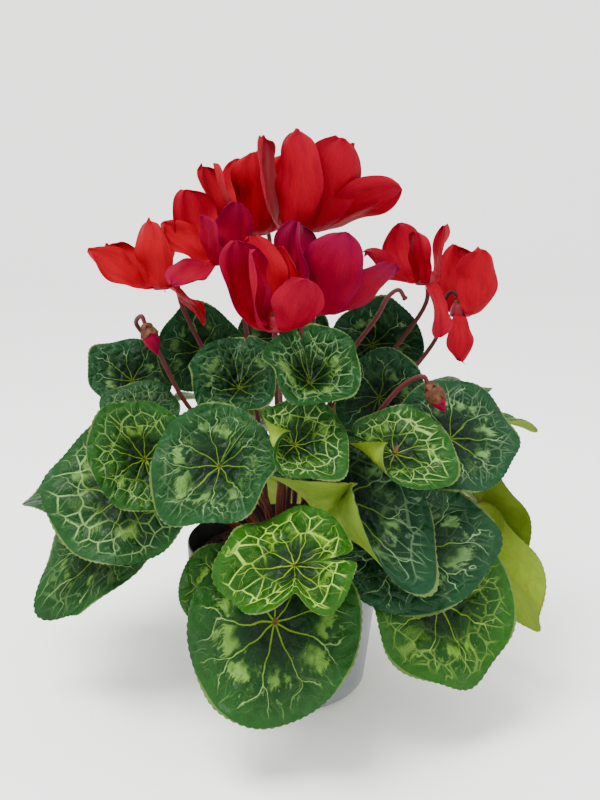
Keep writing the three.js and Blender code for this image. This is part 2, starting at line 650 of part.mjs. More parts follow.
const leaves = LEAVES.map((leaf, i) => [leaf, "leaf_" + String(i + 1).padStart(2, "0")]);
leaves.slice(0, BEHIND_BLOOMS).forEach(([leaf, name]) => placeLeaf(leaf, name));
BLOOMS.forEach((bloom, i) => placeBloom(bloom, "bloom_" + (i + 1)));
BUDS.forEach((bud, i) => placeBud(bud, "bud_" + (i + 1)));
placeStalk("spent_stalk", claimRoot(point(SPENT_STALK[0]), 8), SPENT_STALK.map(point), []);
keep("dried_stems", driedStems(), FINISHES.dried);
leaves.slice(BEHIND_BLOOMS).forEach(([leaf, name]) => placeLeaf(leaf, name));

const tuber = joined([rootHoles.reduce((body, hole) => body.subtract(hole), tuberBody())]);
keep("tuber", tuber, FINISHES.tuber);

const group = new THREE.Group();
for (const [name, solid, look] of nodes) {
  const mesh = new THREE.Mesh(geometryOf(solid), new THREE.MeshStandardMaterial(look));
  mesh.name = name;
  group.add(mesh);
}
export default group;
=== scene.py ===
# Potted cyclamen, dressed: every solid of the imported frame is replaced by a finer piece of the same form.
# Blender works in metres; the plant's own tables and shapes are in millimetres, +Z up, front along -Y.
import math
from types import SimpleNamespace as Sizes

import bpy
import numpy as np
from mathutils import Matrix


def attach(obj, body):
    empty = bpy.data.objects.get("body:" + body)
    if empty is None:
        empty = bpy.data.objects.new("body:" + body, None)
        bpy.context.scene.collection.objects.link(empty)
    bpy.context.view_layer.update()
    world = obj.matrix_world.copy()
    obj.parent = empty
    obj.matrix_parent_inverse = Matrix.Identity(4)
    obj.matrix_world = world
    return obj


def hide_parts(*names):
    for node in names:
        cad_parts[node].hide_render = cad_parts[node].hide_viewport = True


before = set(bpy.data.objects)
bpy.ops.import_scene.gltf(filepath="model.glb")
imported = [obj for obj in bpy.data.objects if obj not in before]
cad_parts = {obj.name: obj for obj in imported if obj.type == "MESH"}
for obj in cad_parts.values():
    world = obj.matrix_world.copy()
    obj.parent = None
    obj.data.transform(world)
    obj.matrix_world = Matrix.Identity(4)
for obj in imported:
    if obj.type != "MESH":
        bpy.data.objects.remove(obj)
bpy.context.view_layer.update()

MM = 0.001
SEED = 11
UP = np.array([0.0, 0.0, 1.0])
WHOLE_TURN = 2 * math.pi


def point(values):
    return np.array(values, float)


# ---------------------------------------------------------------- the plant, as the solids have it
COVER_POT = Sizes(base=45.4, rim=53.6, height=70, wall=1.5, floor=2, round=4)
GROWING_POT = Sizes(base=39, shoulder=50.6, lip=54.4, height=84, wall=1.3)
COMPOST_TOP = 75
TUBER = Sizes(radius=25, crown=21, top=82, belly=74, bottom=60)
CROWN = Sizes(slots=54, pitch=2.6, depth=4)
GAP = 0.3
HIGH_LEAF = 150                     # a leaf that joins its petiole above this z roots nearer the middle
ROOT_REACH = Sizes(high_leaf=11, low_leaf=19, bloom=5, bud=9, spent_stalk=8)   # from the crown's middle

SINUS = 4                           # degrees from the slit's middle to the solid's last ray, and its softness
FAR_FROM = -30                      # a blade behind this y has the solids' coarser rings
NEAR_RING, FAR_RING = (0.75, 17), (0.5, 15)     # a solid blade's ring: how far out it is, and its rays
PETIOLE = Sizes(radius=1.4, steps=4, rise=34, lean=0.15)
PETAL = Sizes(width=0.58, widest=0.62, claw=0.26, twist=34, hollow=0.12)
CROWN_TUBE = Sizes(mouth=3.4, rim=5.8, top=7.5)
STALK = Sizes(radius=1.3, steps=2, waists=(0.35, 0.7))
PETAL_PROBE = 0.48                  # how far along its petals a bloom is compared with its solid
SHEET_PAIR, STEM_RING = 2, 4        # a solid's vertices round one point of a sheet, and of a stem

# The shifts that the solids may have taken to clear each other; fitted() finds the one that was taken.
PUSHES = [0] + [side * step * 1.5 for step in range(1, 17) for side in (1, -1)]
SWAYS = [0, 4, -4, 8, -8, 12, -12, 16, -16, 20, -20, 26, -26]
RISES = [0, 12, -10, 24, -20]
BENDS = [(rise, sway) for rise in RISES for sway in SWAYS]

# cone, fold, drop, heel and wave are slopes in degrees; arch and back bend the petiole, in mm; width, apex
# and the depth of a bay are shares of the length. A bay is (middle, span, depth) and a curl (middle, span,
# turn, start, end), in degrees round the blade and as shares of the way out.
PLAIN = {
    "width": 1, "cone": 6, "fold": 6, "drop": -14, "heel": 0, "wave": 8, "lobes": 5, "curls": [], "arch": 0,
    "back": 16, "apex": 0.13, "bays": [], "lap": True,
}


def leaf(at, tip, face, tone, phase=0, **changes):
    """A leaf that differs from a plain one by its changes."""
    at, tip = point(at), point(tip)
    ring = FAR_RING if at[1] > FAR_FROM else NEAR_RING
    sizes = {**PLAIN, "length": float(np.linalg.norm(tip - at)), "ring": ring, **changes}
    return Sizes(at=at, tip=tip, face=point(face), tone=tone, phase=phase, **sizes)


def bloom(mouth, sweep, gap, tone, petals, others=None):
    mouth, sweep, others = point(mouth), point(sweep), others or {}
    return Sizes(mouth=mouth, sweep=sweep, gap=gap, tone=tone, petals=petals, others=others)


# Where the petiole meets the blade, where the blade points, the way its upper side looks, how warm, how
# silvery and how netted it is from 0 to 1, and the phase of its waves.
LEAVES = [
    # the far side, which stands up behind the blooms
    leaf((49, 30, 188), (50, 16, 220), (0.1, -0.8, 0.6), (0, 0.5, 0.1), 40, cone=12),
    leaf((-47, 26, 186), (-54, 18, 216), (-0.1, -0.7, 0.7), (0.15, 0.2, 0.1), 10, cone=16, back=26),
    leaf((51, -2, 165), (54, -4, 196), (0.1, -0.8, 0.6), (0, 0.2, 0.2), 90, cone=16),
    leaf((-38, 84, 96), (-60, 122, 64), (-0.3, 0.8, 0.5), (0.3, 0.5, 0.4), 160, arch=20),
    leaf((42, 84, 94), (64, 122, 62), (0.3, 0.8, 0.5), (0.6, 0.5, 0.6), 250, arch=20),
    leaf((-64, 52, 124), (-100, 80, 106), (-0.4, 0.6, 0.6), (0.3, 0.5, 0.4), 200, length=44),
    leaf((-6, 78, 128), (-10, 118, 108), (0, 0.7, 0.7), (0.1, 0.7, 0.5), 70, length=42),
    leaf((62, 50, 131), (96, 82, 111), (0.4, 0.6, 0.6), (0.5, 0.6, 0.3), 310, length=46),
    leaf((-34, 68, 146), (-58, 100, 140), (-0.3, 0.4, 0.85), (0.2, 0.5, 0.4), 20),
    leaf((32, 68, 150), (44, 106, 140), (0.1, 0.4, 0.9), (0.4, 0.4, 0.5), 130),
    leaf((-2, 50, 188), (-4, 41, 220), (0.05, -0.8, 0.6), (0.1, 0.3, 0.2), 300, cone=10, back=26, arch=-12),
    leaf((2, 92, 86), (4, 122, 50), (0, 0.85, 0.5), (0.5, 0.5, 0.4), 110, arch=20),
    # the right side, from its back
    leaf((95, 38, 158), (120, 44, 158), (0.3, 0.1, 0.9), (0.8, 0.2, 0.2), 120),
    leaf((104, 6, 151), (138, 2, 147), (0.3, 0.2, 0.9), (0.9, 0.2, 0.2), 220, width=0.7),
    leaf((107, -8, 106), (132, -18, 68), (0.85, 0.4, 0.3), (0.8, 0.2, 0.2), 30, length=43, width=0.85,
         arch=10),
    leaf((112, -26, 80), (134, -40, 45), (0.8, 0.5, 0.3), (0.8, 0.2, 0.2), 80, width=0.8, arch=20),
    leaf((77, -65, 76), (97, -85, 36), (0.25, -0.85, 0.45), (0.85, 0.7, 0.5), 240, length=46, arch=24),
    leaf((60, -62, 104), (110, -60, 106), (0.3, -0.85, 0.4), (0.05, 0.5, 0.3), 20, length=50, width=0.8,
         arch=16),
    leaf((83, -46, 155), (120, -40, 153), (0.35, -0.7, 0.6), (0.05, 0.7, 0.4), 190),
    # the left side, from its back
    leaf((-84, 14, 171), (-106, 14, 189), (-0.3, -0.5, 0.8), (0.1, 0.4, 0.1), 60),
    leaf((-104, 12, 106), (-146, 0, 104), (-0.3, -0.3, 0.8), (0.3, 0.7, 0.2), width=0.8),
    leaf((-75, -12, 158), (-98, -6, 166), (-0.2, -0.5, 0.85), (0.2, 0.4, 0.4), 140),
    leaf((-90, -30, 96), (-134, -38, 48), (-0.35, -0.85, 0.35), (0.4, 0.5, 0.4), 170, length=60,
         width=0.5, wave=12, arch=10),
    leaf((-80, -40, 124), (-126, -36, 127), (-0.25, -0.8, 0.5), (0.35, 0.6, 0.8), 45),
    leaf((-69, -50, 146), (-86, -48, 170), (-0.2, -0.7, 0.7), (0.6, 0.6, 0.7), 100, length=35, cone=22),
    # low on the near side
    leaf((27, -66, 127), (77, -92, 84), (0.25, -0.8, 0.55), (0, 0.6, 0.5), length=60, width=0.74,
         heel=-35, wave=4, curls=[(-85, 48, 160, 0.28, 0.54)], ring=(0.54, 17)),
    leaf((-27, -58, 80), (-37, -68, 40), (-0.1, -0.9, 0.35), (0.7, 0.6, 0.1), 60, length=31, heel=-50,
         wave=12, arch=20),
    leaf((-3, -93, 79), (-16, -117, 24), (-0.05, -0.8, 0.6), (0.5, 0.8, 0.15), 150, length=49, width=0.88,
         heel=-75, wave=12, arch=26, apex=0.02),
    leaf((6, -116, 118), (-32, -120, 114), (-0.1, -0.7, 0.7), (1, 0.4, 1), 200, length=37, width=0.9,
         fold=-4, wave=26, lobes=4, bays=[(84, 20, 0.45)], lap=False),
    # high on the near side, from the middle outwards
    leaf((-22, -31, 177), (-29, -57, 158), (-0.05, -0.6, 0.8), (0.1, 0.4, 0.4), 15, length=35, cone=34,
         drop=-24, wave=12),
    leaf((13, -57, 183), (20, -84, 163), (0.05, -0.6, 0.8), (0.25, 0.8, 0.7), 75, length=36, cone=38,
         drop=-14, wave=10, arch=-14),
    leaf((54, -64, 149), (81, -76, 143), (0.2, -0.65, 0.72), (0.6, 0.6, 0.9), 330, length=32, arch=20,
         curls=[(-115, 40, 130, 0.35, 0.75)]),
    leaf((6, -83, 163), (26, -96, 153), (0.1, -0.65, 0.75), (0.6, 0.6, 0.9), 260, length=29, cone=14,
         curls=[(-125, 40, 140, 0.35, 0.75)]),
    leaf((-29, -80, 152), (-57, -94, 127), (-0.15, -0.8, 0.58), (0.25, 0.8, 0.35), 280, length=37,
         cone=14, wave=12),
]
BEHIND_BLOOMS = 29  # leaves that took their roots before the blooms did

# The middle of the dark mouth, the way the petals stand back from it, the side where the stalk passes in,
# how crimson the petals are and how magenta their rims, each petal's (side, stand, flare, length), and the
# petals whose tone is another.
BLOOMS = [
    bloom((-15, 26, 249), (-0.1, 0.1, 1), 60, (0.2, 0.1), [(180, 62, 80, 46), (225, 62, 80, 46),
          (280, 66, 84, 48), (330, 62, 82, 48), (110, 68, 86, 50)]),
    bloom((7, -6, 254), (0.1, 0, 1), 90, (0.35, 0.15), [(350, 38, 30, 54), (25, 62, 84, 54),
          (200, 66, 84, 52), (262, 68, 86, 56), (310, 64, 82, 56)]),
    bloom((75, 6, 225), (0, 0.1, 1), 80, (0.4, 0.2), [(190, 30, 36, 34), (250, 60, 78, 32),
          (135, 62, 84, 38), (40, 76, 90, 34), (285, -46, -80, 34)]),
    bloom((96, 18, 206), (0, 0.1, 1), 150, (0.3, 0.1), [(90, 68, 86, 44), (40, 66, 84, 38),
          (305, 72, 88, 40), (350, 68, 88, 28), (262, -56, -76, 28)]),
    bloom((-63, 0, 224), (-0.1, 0, 1), 60, (0.1, 0), [(198, 38, 46, 40), (165, 48, 60, 34),
          (268, 68, 88, 42), (110, 66, 84, 36), (312, -30, -44, 32)]),
    bloom((-31, -14, 238), (-0.1, 0, 1), 60, (0.7, 0.7), [(180, 50, 46, 34), (145, 68, 86, 44),
          (226, -8, -16, 30), (255, 60, 70, 32), (320, 72, 88, 34)], {0: (0.15, 0), 1: (0.3, 0.1)}),
    bloom((-2, -57, 212), (-0.05, 0, 1), 25, (0.55, 0.5), [(300, 44, 60, 38), (210, 82, 96, 42),
          (165, 74, 86, 48), (125, 72, 86, 48), (80, 72, 88, 42)],
          {0: (0.6, 0.2), 3: (0.2, 0.1), 4: (0.2, 0.1)}),
    bloom((16, -37, 217), (0.15, 0, 1), 90, (0.8, 1), [(150, 72, 88, 46), (218, 74, 88, 48),
          (285, 64, 80, 50), (345, 46, 52, 44), (20, 40, 40, 36)]),
]
BUD_RADIUS = 4.5
BUDS = [
    Sizes(base=(-70, -22, 208), tip=(-64, -24, 193), husk=0.35,
          by=[(-54, -12, 168), (-67, -9, 193), (-76, -15, 208)]),
    Sizes(base=(71, -52, 184), tip=(79, -53, 171), husk=0.62, by=[(44, -40, 162), (60, -48, 184)]),
]
SPENT_STALK = [(34, -12, 190), (48, -14, 211), (54, -14, 222), (59, -14, 225), (62, -14, 221)]
DRIED_STEMS = Sizes(base=(29, -31, 76.5), radius=1.1, side=(-46, -40, -53), fall=(62, 70, 74))

# ---------------------------------------------------------------- what the dressed pieces add
BLADE_RAYS, BLADE_RINGS = 305, 14
LAP = 5                             # degrees that one lobe reaches over the other behind the petiole
LAP_LIFT = 1.6
TEETH, TOOTH = 76, 0.014            # round a blade, and each one's share of the length
VEINS = 9                           # that leave the petiole's end
VEIN_STEP = WHOLE_TURN / VEINS
INSET, UNEVEN = 0.012, (0.02, 0.012)    # of a blade's margin, as shares of the length
SWELL, CRINKLE = 0.45, 0.5          # of a blade's flesh between the veins
THICKNESS = Sizes(blade=0.62, petal=0.55)
THINNING = Sizes(blade=0.3, petal=0.25)     # by this much less at the margin
PETAL_ROWS, PETAL_COLUMNS = 30, 15
PETAL_FOLDS = Sizes(wave=2.2, crease=0.6, across=0.45, along=0.9)
PETAL_MARGIN = 0.07                 # how uneven, as a share of the half width
SEPALS, SEPAL_SIDES = 5, 60
STALK_HAIRS, BUD_HAIRS = Sizes(spacing=0.4, length=0.5), Sizes(spacing=0.06, length=0.8)
CRUMBS = 260
CURVE_STEPS = 24                    # straight steps that a blade's or petal's profile is added up from
STEM_SIDES, POT_SIDES = 12, 120
STEM_LUMPS = 0.08


# ---------------------------------------------------------------- vectors and curves
def unit(vector):
    return vector / np.linalg.norm(vector, axis=-1, keepdims=True)


def ease(value):
    share = np.clip(value, 0, 1)
    return share * share * (3 - 2 * share)


def stacked(x, y, z):
    """Points from their coordinates, each one number or a grid."""
    return np.stack(np.broadcast_arrays(x, y, z), axis=-1)


def angles_round(sides):
    return np.linspace(0, WHOLE_TURN, sides, endpoint=False)


def around(radius, angle, height):
    """Points round the Z axis; the angle is in radians."""
    return stacked(radius * np.cos(angle), radius * np.sin(angle), height)


def hill(off, span):
    """1 in the middle, falling away to both sides."""
    return np.exp(-((off / span) ** 2))


def foot_arc(edge, radius, step):
    """The points of a quarter circle that rises from level ground and ends upright at the edge."""
    turns = [math.radians(degrees) for degrees in range(step, 91, step)]
    return [(edge - radius * (1 - math.sin(turn)), radius * (1 - math.cos(turn))) for turn in turns]


def bent_strip(out, high, length, share, slope_of):
    """How far out and how high a strip gets at each share of its length, and its slope there."""
    out, high = np.full(share.shape, out), np.full(share.shape, high)
    step = length * share / CURVE_STEPS
    for i in range(CURVE_STEPS):
        slope = np.radians(slope_of(share * (i + 0.5) / CURVE_STEPS))
        out += step * np.cos(slope)
        high += step * np.sin(slope)
    return out, high, slope


def bezier(corners, count):
    """Points evenly spaced along a cubic curve."""
    a, b, c, d = (corner[None] for corner in corners)
    t = np.linspace(0, 1, 201)[:, None]
    fine = (1 - t) ** 3 * a + 3 * (1 - t) ** 2 * t * b + 3 * (1 - t) * t**2 * c + t**3 * d
    run = np.concatenate([[0], np.cumsum(np.linalg.norm(np.diff(fine, axis=0), axis=1))])
    wanted = np.linspace(0, run[-1], count + 1)
    return np.stack([np.interp(wanted, run, fine[:, i]) for i in range(3)], axis=1)


def through(points, steps_each):
    """A smooth curve through points (centripetal Catmull-Rom), with the same steps from each to the next."""
    ends = [2 * points[0] - points[1], *points, 2 * points[-1] - points[-2]]
    path = []
    for p0, p1, p2, p3 in zip(ends, ends[1:], ends[2:], ends[3:]):
        d0, d1, d2 = (max(np.linalg.norm(b - a), 1e-4) ** 0.5 for a, b in ((p0, p1), (p1, p2), (p2, p3)))
        m1 = ((p1 - p0) / d0 - (p2 - p0) / (d0 + d1) + (p2 - p1) / d1) * d1
        m2 = ((p2 - p1) / d1 - (p3 - p1) / (d1 + d2) + (p3 - p2) / d2) * d1
        for i in range(steps_each):
            t = i / steps_each
            bend = (3 * (p2 - p1) - 2 * m1 - m2) * t**2
            path.append(p1 + m1 * t + bend + (2 * (p1 - p2) + m1 + m2) * t**3)
    return np.array(path + [points[-1]])


def turn_about_z(spots, degrees):
    angle = math.radians(degrees)
    c, s = math.cos(angle), math.sin(angle)
    return spots @ np.array([[c, s, 0], [-s, c, 0], [0, 0, 1]])


def ripple(spots, scale, seed):
    """A smooth made-up unevenness between about -1 and 1 at each point, from a few crossed waves."""
    waves = np.random.default_rng(seed)
    total = np.zeros(spots.shape[:-1])
    for octave in range(5):
        ways = waves.normal(size=(3, 3)) * (1.6**octave) / scale
        total += np.prod(np.sin(spots @ ways.T + waves.uniform(0, 6.3, 3)), axis=-1) / 1.3**octave
    return total / 2


# ---------------------------------------------------------------- reading the solids
def misfit(points, vertices, ring):
    """How far each point is from the middle of the solid's ring vertices nearest to it, on average."""
    total = 0
    for spot in points:
        away = np.linalg.norm(vertices - spot, axis=1)
        total += np.linalg.norm(vertices[np.argsort(away)[:ring]].mean(axis=0) - spot)
    return total / len(points)


def fitted(node, choices, points_of, ring):
    """The first choice whose points lie where the solid has them."""
    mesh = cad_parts[node].data
    flat = np.empty(len(mesh.vertices) * 3)
    mesh.vertices.foreach_get("co", flat)
    vertices = np.unique((flat.reshape(-1, 3) / MM).round(3), axis=0)
    scores = [misfit(points_of(choice), vertices, ring) for choice in choices]
    return choices[int(np.argmin(np.round(scores, 2)))]


# ---------------------------------------------------------------- meshes
def linked(name, data):
    """A new object of the scene."""
    made = bpy.data.objects.new(name, data)
    bpy.context.scene.collection.objects.link(made)
    return made


class Shape:
    """One piece's mesh while it is put together. plan and tone are what its materials read at each vertex."""

    def __init__(self):
        self.vertices, self.faces, self.finishes, self.plan, self.tone = [], [], [], [], []
        self.count = 0

    def add(self, vertices, faces, finish, plan=(0, 0, 0), tone=(0, 0, 0)):
        """finish is the number of a material, or a list with one for each face."""
        vertices = np.asarray(vertices, float).reshape(-1, 3)
        self.vertices.append(vertices)
        self.faces += [[corner + self.count for corner in face] for face in faces]
        self.finishes += [finish] * len(faces) if isinstance(finish, int) else finish
        for kept, values in ((self.plan, plan), (self.tone, tone)):
            kept.append(np.broadcast_to(np.asarray(values, float), vertices.shape))
        self.count += len(vertices)

    def piece(self, name, node, materials, crease=50):
        mesh = bpy.data.meshes.new(name)
        mesh.from_pydata(np.concatenate(self.vertices) * MM, [], self.faces)
        for material in materials:
            mesh.materials.append(material)
        mesh.polygons.foreach_set("material_index", self.finishes)
        for label, values in (("plan", self.plan), ("tone", self.tone)):
            layer = mesh.attributes.new(label, "FLOAT_VECTOR", "POINT")
            layer.data.foreach_set("vector", np.concatenate(values).astype(np.float32).ravel())
        mesh.shade_smooth()
        mesh.set_sharp_from_angle(angle=math.radians(crease))
        mesh.update()
        made = linked(name, mesh)
        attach(made, "root")
        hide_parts(node)


def grid_faces(rows, columns, closed=False):
    """Quads of a grid of rows x columns vertices; closed joins the last column to the first."""
    index = np.arange(rows * columns).reshape(rows, columns)
    if closed:
        index = np.hstack([index, index[:, :1]])
    corners = [index[:-1, :-1], index[1:, :-1], index[1:, 1:], index[:-1, 1:]]
    return np.stack(corners, axis=-1).reshape(-1, 4).tolist()


def sheet_normals(spots):
    down, across = np.gradient(spots, axis=0), np.gradient(spots, axis=1)
    outs = np.cross(down, across)
    return outs / np.maximum(np.linalg.norm(outs, axis=-1, keepdims=True), 1e-9)


def add_sheet(shape, spots, outs, thickness, under, plan, tone, fan=False):
    """A thin sheet whose lower face has the finish under; fan closes its first row to one point."""
    rows, columns = spots.shape[:2]
    half = rows * columns
    lift = outs * thickness[..., None] / 2
    vertices = np.concatenate([(spots + lift).reshape(-1, 3), (spots - lift).reshape(-1, 3)])
    quads = grid_faces(rows, columns)
    faces = quads + [[corner + half for corner in reversed(quad)] for quad in quads]
    left = list(range(0, half, columns))
    right = list(range(columns - 1, half, columns))
    loop = left + list(range(half - columns + 1, half)) + right[::-1][1:]
    if fan:  # both ends of the slit run to the middle, where all of the first row lies
        merge = {start + side: side for start in range(columns) for side in (0, half)}
        joined = [[merge.get(corner, corner) for corner in face] for face in faces]
        faces = [list(dict.fromkeys(face)) for face in joined]
        pairs = [(merge.get(a, a), merge.get(b, b)) for a, b in zip(loop, loop[1:])]
    else:
        loop += range(columns - 2, 0, -1)
        pairs = list(zip(loop, loop[1:] + loop[:1]))
    faces += [[b, a, a + half, b + half] for a, b in pairs]
    finishes = [0] * len(quads) + [under] * len(quads) + [0] * len(pairs)
    used = sorted({corner for face in faces for corner in face})
    place = {corner: i for i, corner in enumerate(used)}
    faces = [[place[corner] for corner in face] for face in faces]
    shape.add(vertices[used], faces, finishes, np.concatenate([plan.reshape(-1, 3)] * 2)[used], tone)


def add_rings(shape, rings, ends, angles, finish, flip, tone=(0, 0, 0), place=None):
    """A closed body: quads between its rings, and a fan from the last two vertices over each end."""
    count, sides = rings.shape[:2]
    base, last = count * sides, (count - 1) * sides
    faces = grid_faces(count, sides, closed=True)
    faces += [[base, (i + 1) % sides, i] for i in range(sides)]
    faces += [[base + 1, last + i, last + (i + 1) % sides] for i in range(sides)]
    if flip:
        faces = [face[::-1] for face in faces]
    plan = stacked(np.linspace(0, 1, count)[:, None], angles, 0.0)
    plan = np.concatenate([plan.reshape(-1, 3), [[0, 0, 0], [1, 0, 0]]])
    vertices = np.concatenate([rings.reshape(-1, 3), ends])
    shape.add(place(vertices) if place else vertices, faces, finish, plan, tone)


def add_tube(shape, path, radii, sides, finish, uneven=0.0, seed=0):
    """A round stem along path with closed ends, and hair-fine lumps where uneven is above 0."""
    ways = unit(np.gradient(path, axis=0))
    side = unit(np.cross(ways[0], UP if abs(ways[0][2]) < 0.9 else point([1, 0, 0])))
    sides_of = []
    for way in ways:
        side = unit(side - way * (side @ way))
        sides_of.append(side)
    sides_of = np.array(sides_of)
    others = np.cross(ways, sides_of)
    angles = angles_round(sides)
    outs = sides_of[:, None] * np.cos(angles)[:, None] + others[:, None] * np.sin(angles)[:, None]
    rings = path[:, None] + outs * np.broadcast_to(radii, len(path))[:, None, None]
    if uneven:
        rings += outs * uneven * ripple(rings, 3, seed)[..., None]
    add_rings(shape, rings, path[[0, -1]], angles, finish, True)


def add_turned(shape, profile, sides, finish, place=None, tone=(0, 0, 0), wobble=None):
    """A body turned about the Z axis from (radius, height) rows that start and end on the axis.

    wobble makes its rings uneven in place, and place moves all of its points."""
    radius, height = np.array(profile, float).T
    angles = angles_round(sides)
    rings = around(radius[1:-1, None], angles, height[1:-1, None])
    if wobble:
        wobble(rings)
    volume = np.sum(np.diff(height) * (radius[1:] + radius[:-1]) ** 2)
    ends = [[0, 0, height[0]], [0, 0, height[-1]]]
    # a profile that rises on the outside has its faces turned inwards, so they are turned round
    add_rings(shape, rings, ends, angles, finish, volume > 0, tone, place)


def add_cup(shape, origin, ways, radii, angle, height):
    """A thin cup, with the second finish, between two grids of radii; the outer one comes first if height
    falls along the rows, and second if it rises."""
    walls = [origin + around(radius, angle, height) @ ways for radius in radii]
    rows, sides = walls[0].shape[:2]
    half, last = rows * sides, (rows - 1) * sides
    quads = grid_faces(rows, sides, closed=True)
    faces = [quad[::-1] for quad in quads] + [[corner + half for corner in quad] for quad in quads]
    for i in range(sides):
        j = (i + 1) % sides
        faces += [[last + i, last + j, last + j + half, last + i + half], [j, i, i + half, j + half]]
    shape.add(np.concatenate([wall.reshape(-1, 3) for wall in walls]), faces, 1)


def add_hairs(shape, path, radius, hairs, seed):
    """Fine short hairs that stand out from a stem all round, with the shape's second finish."""
    chance = np.random.default_rng(seed)
    run = np.linalg.norm(np.diff(path, axis=0), axis=1).sum()
    count = int(run / hairs.spacing)
    along = chance.uniform(0.02, 0.98, count) * (len(path) - 1)
    low = along.astype(int)
    way = unit(path[low + 1] - path[low])
    foot = path[low] + (along - low)[:, None] * (path[low + 1] - path[low])
    out = unit(np.cross(way, chance.normal(size=(count, 3))))
    across = np.cross(way, out)
    foot = foot + out * (radius - 0.1)
    reach = chance.uniform(0.6, 1.2, (count, 1)) * hairs.length
    tip = foot + out * reach + way * reach * chance.normal(0, 0.3, (count, 1))
    corners = [foot + way * 0.06, foot - way * 0.03 + across * 0.05, foot - way * 0.03 - across * 0.05, tip]
    hair = [[0, 2, 1], [0, 1, 3], [1, 2, 3], [2, 0, 3]]
    faces = [[corner + 4 * i for corner in face] for i in range(count) for face in hair]
    shape.add(np.stack(corners, axis=1), faces, 1)


# ---------------------------------------------------------------- material graphs
def srgb(colour):
    """An 8-bit sRGB triple as Blender mixes it; a Field stays as it is."""
    if isinstance(colour, Field):
        return colour
    shares = [value / 255 for value in colour]
    return (*(v / 12.92 if v <= 0.04045 else ((v + 0.055) / 1.055) ** 2.4 for v in shares), 1.0)


class Field:
    """A number or colour that varies over a surface, as the output of a node."""

    def __init__(self, graph, socket):
        self.graph, self.socket = graph, socket

    def rises(self, low, high):
        """0 below low, 1 above high, smooth between."""
        values = {0: self, 1: low, 2: high, 3: 0.0, 4: 1.0}
        return self.graph.node("ShaderNodeMapRange", values, interpolation_type="SMOOTHSTEP")

    def falls(self, low, high):
        return 1 - self.rises(low, high)

    def nearest(self):
        """The nearest whole number, and how far it is."""
        whole = self.graph.math("ROUND", self)
        return whole, self.graph.math("ABSOLUTE", self - whole)


for sign, operation in (("add", "ADD"), ("sub", "SUBTRACT"), ("mul", "MULTIPLY"), ("truediv", "DIVIDE")):
    setattr(Field, f"__{sign}__", lambda self, other, kind=operation: self.graph.math(kind, self, other))
    setattr(Field, f"__r{sign}__", lambda self, other, kind=operation: self.graph.math(kind, other, self))


class Graph:
    """A node material with a Principled shader; fixed holds the values of more of its sockets."""

    def __init__(self, name, specular=0.5, **fixed):
        self.material = bpy.data.materials.new(name)
        self.material.use_nodes = True
        self.tree = self.material.node_tree
        self.tree.nodes.clear()
        self.shader = self.tree.nodes.new("ShaderNodeBsdfPrincipled")
        output = self.tree.nodes.new("ShaderNodeOutputMaterial")
        self.tree.links.new(self.shader.outputs["BSDF"], output.inputs["Surface"])
        for socket, value in {"Specular_IOR_Level": specular, **fixed}.items():
            self.shader.inputs[socket.replace("_", " ")].default_value = value

    def node(self, kind, values, out=0, **settings):
        made = self.tree.nodes.new(kind)
        for key, value in settings.items():
            setattr(made, key, value)
        for key, value in values.items():
            self.put(made.inputs[key], value)
        return Field(self, made.outputs[out])

    def put(self, socket, value):
        if isinstance(value, Field):
            self.tree.links.new(value.socket, socket)
        else:
            socket.default_value = value

    def math(self, operation, a, b=0.0):
        return self.node("ShaderNodeMath", {0: a, 1: b}, operation=operation)

    def mix(self, factor, a, b):
        """From the colour a to the colour b."""
        return self.node("ShaderNodeMix", {0: factor, 6: srgb(a), 7: srgb(b)}, 2, data_type="RGBA")

    def coats(self, colour, *coats):
        """The colour with others laid over it, each by its factor."""
        for factor, over in coats:
            colour = self.mix(factor, colour, over)
        return colour

    def layer(self, name):
        """The three numbers that a shape's vertices carry under this name."""
        return self.node("ShaderNodeAttribute", {}, "Vector", attribute_name=name)

    def parts(self, vector):
        made = self.tree.nodes.new("ShaderNodeSeparateXYZ")
        self.put(made.inputs[0], vector)
        return [Field(self, made.outputs[i]) for i in range(3)]

    def vector(self, x, y, z):
        return self.node("ShaderNodeCombineXYZ", {0: x, 1: y, 2: z})

    def place(self):
        return self.node("ShaderNodeTexCoord", {}, "Object")

    def noise(self, vector, scale, detail=3.0, roughness=0.5):
        values = {"Vector": vector, "Scale": scale, "Detail": detail, "Roughness": roughness}
        return self.node("ShaderNodeTexNoise", values)

    def chance(self, value):
        """A number between 0 and 1, drawn anew for each whole value."""
        return self.node("ShaderNodeTexWhiteNoise", {"W": value}, noise_dimensions="1D")

    def cells(self, vector, scale):
        """The distance to the nearest border between scattered cells."""
        values = {"Vector": vector, "Scale": scale}
        return self.node("ShaderNodeTexVoronoi", values, feature="DISTANCE_TO_EDGE")

    def finish(self, colour, roughness, height=None, distance=0.001, strength=0.5):
        self.put(self.shader.inputs["Base Color"], colour)
        self.put(self.shader.inputs["Roughness"], roughness)
        if height is not None:
            bump = self.node("ShaderNodeBump", {"Height": height, "Distance": distance, "Strength": strength})
            self.put(self.shader.inputs["Normal"], bump)
        return self.material


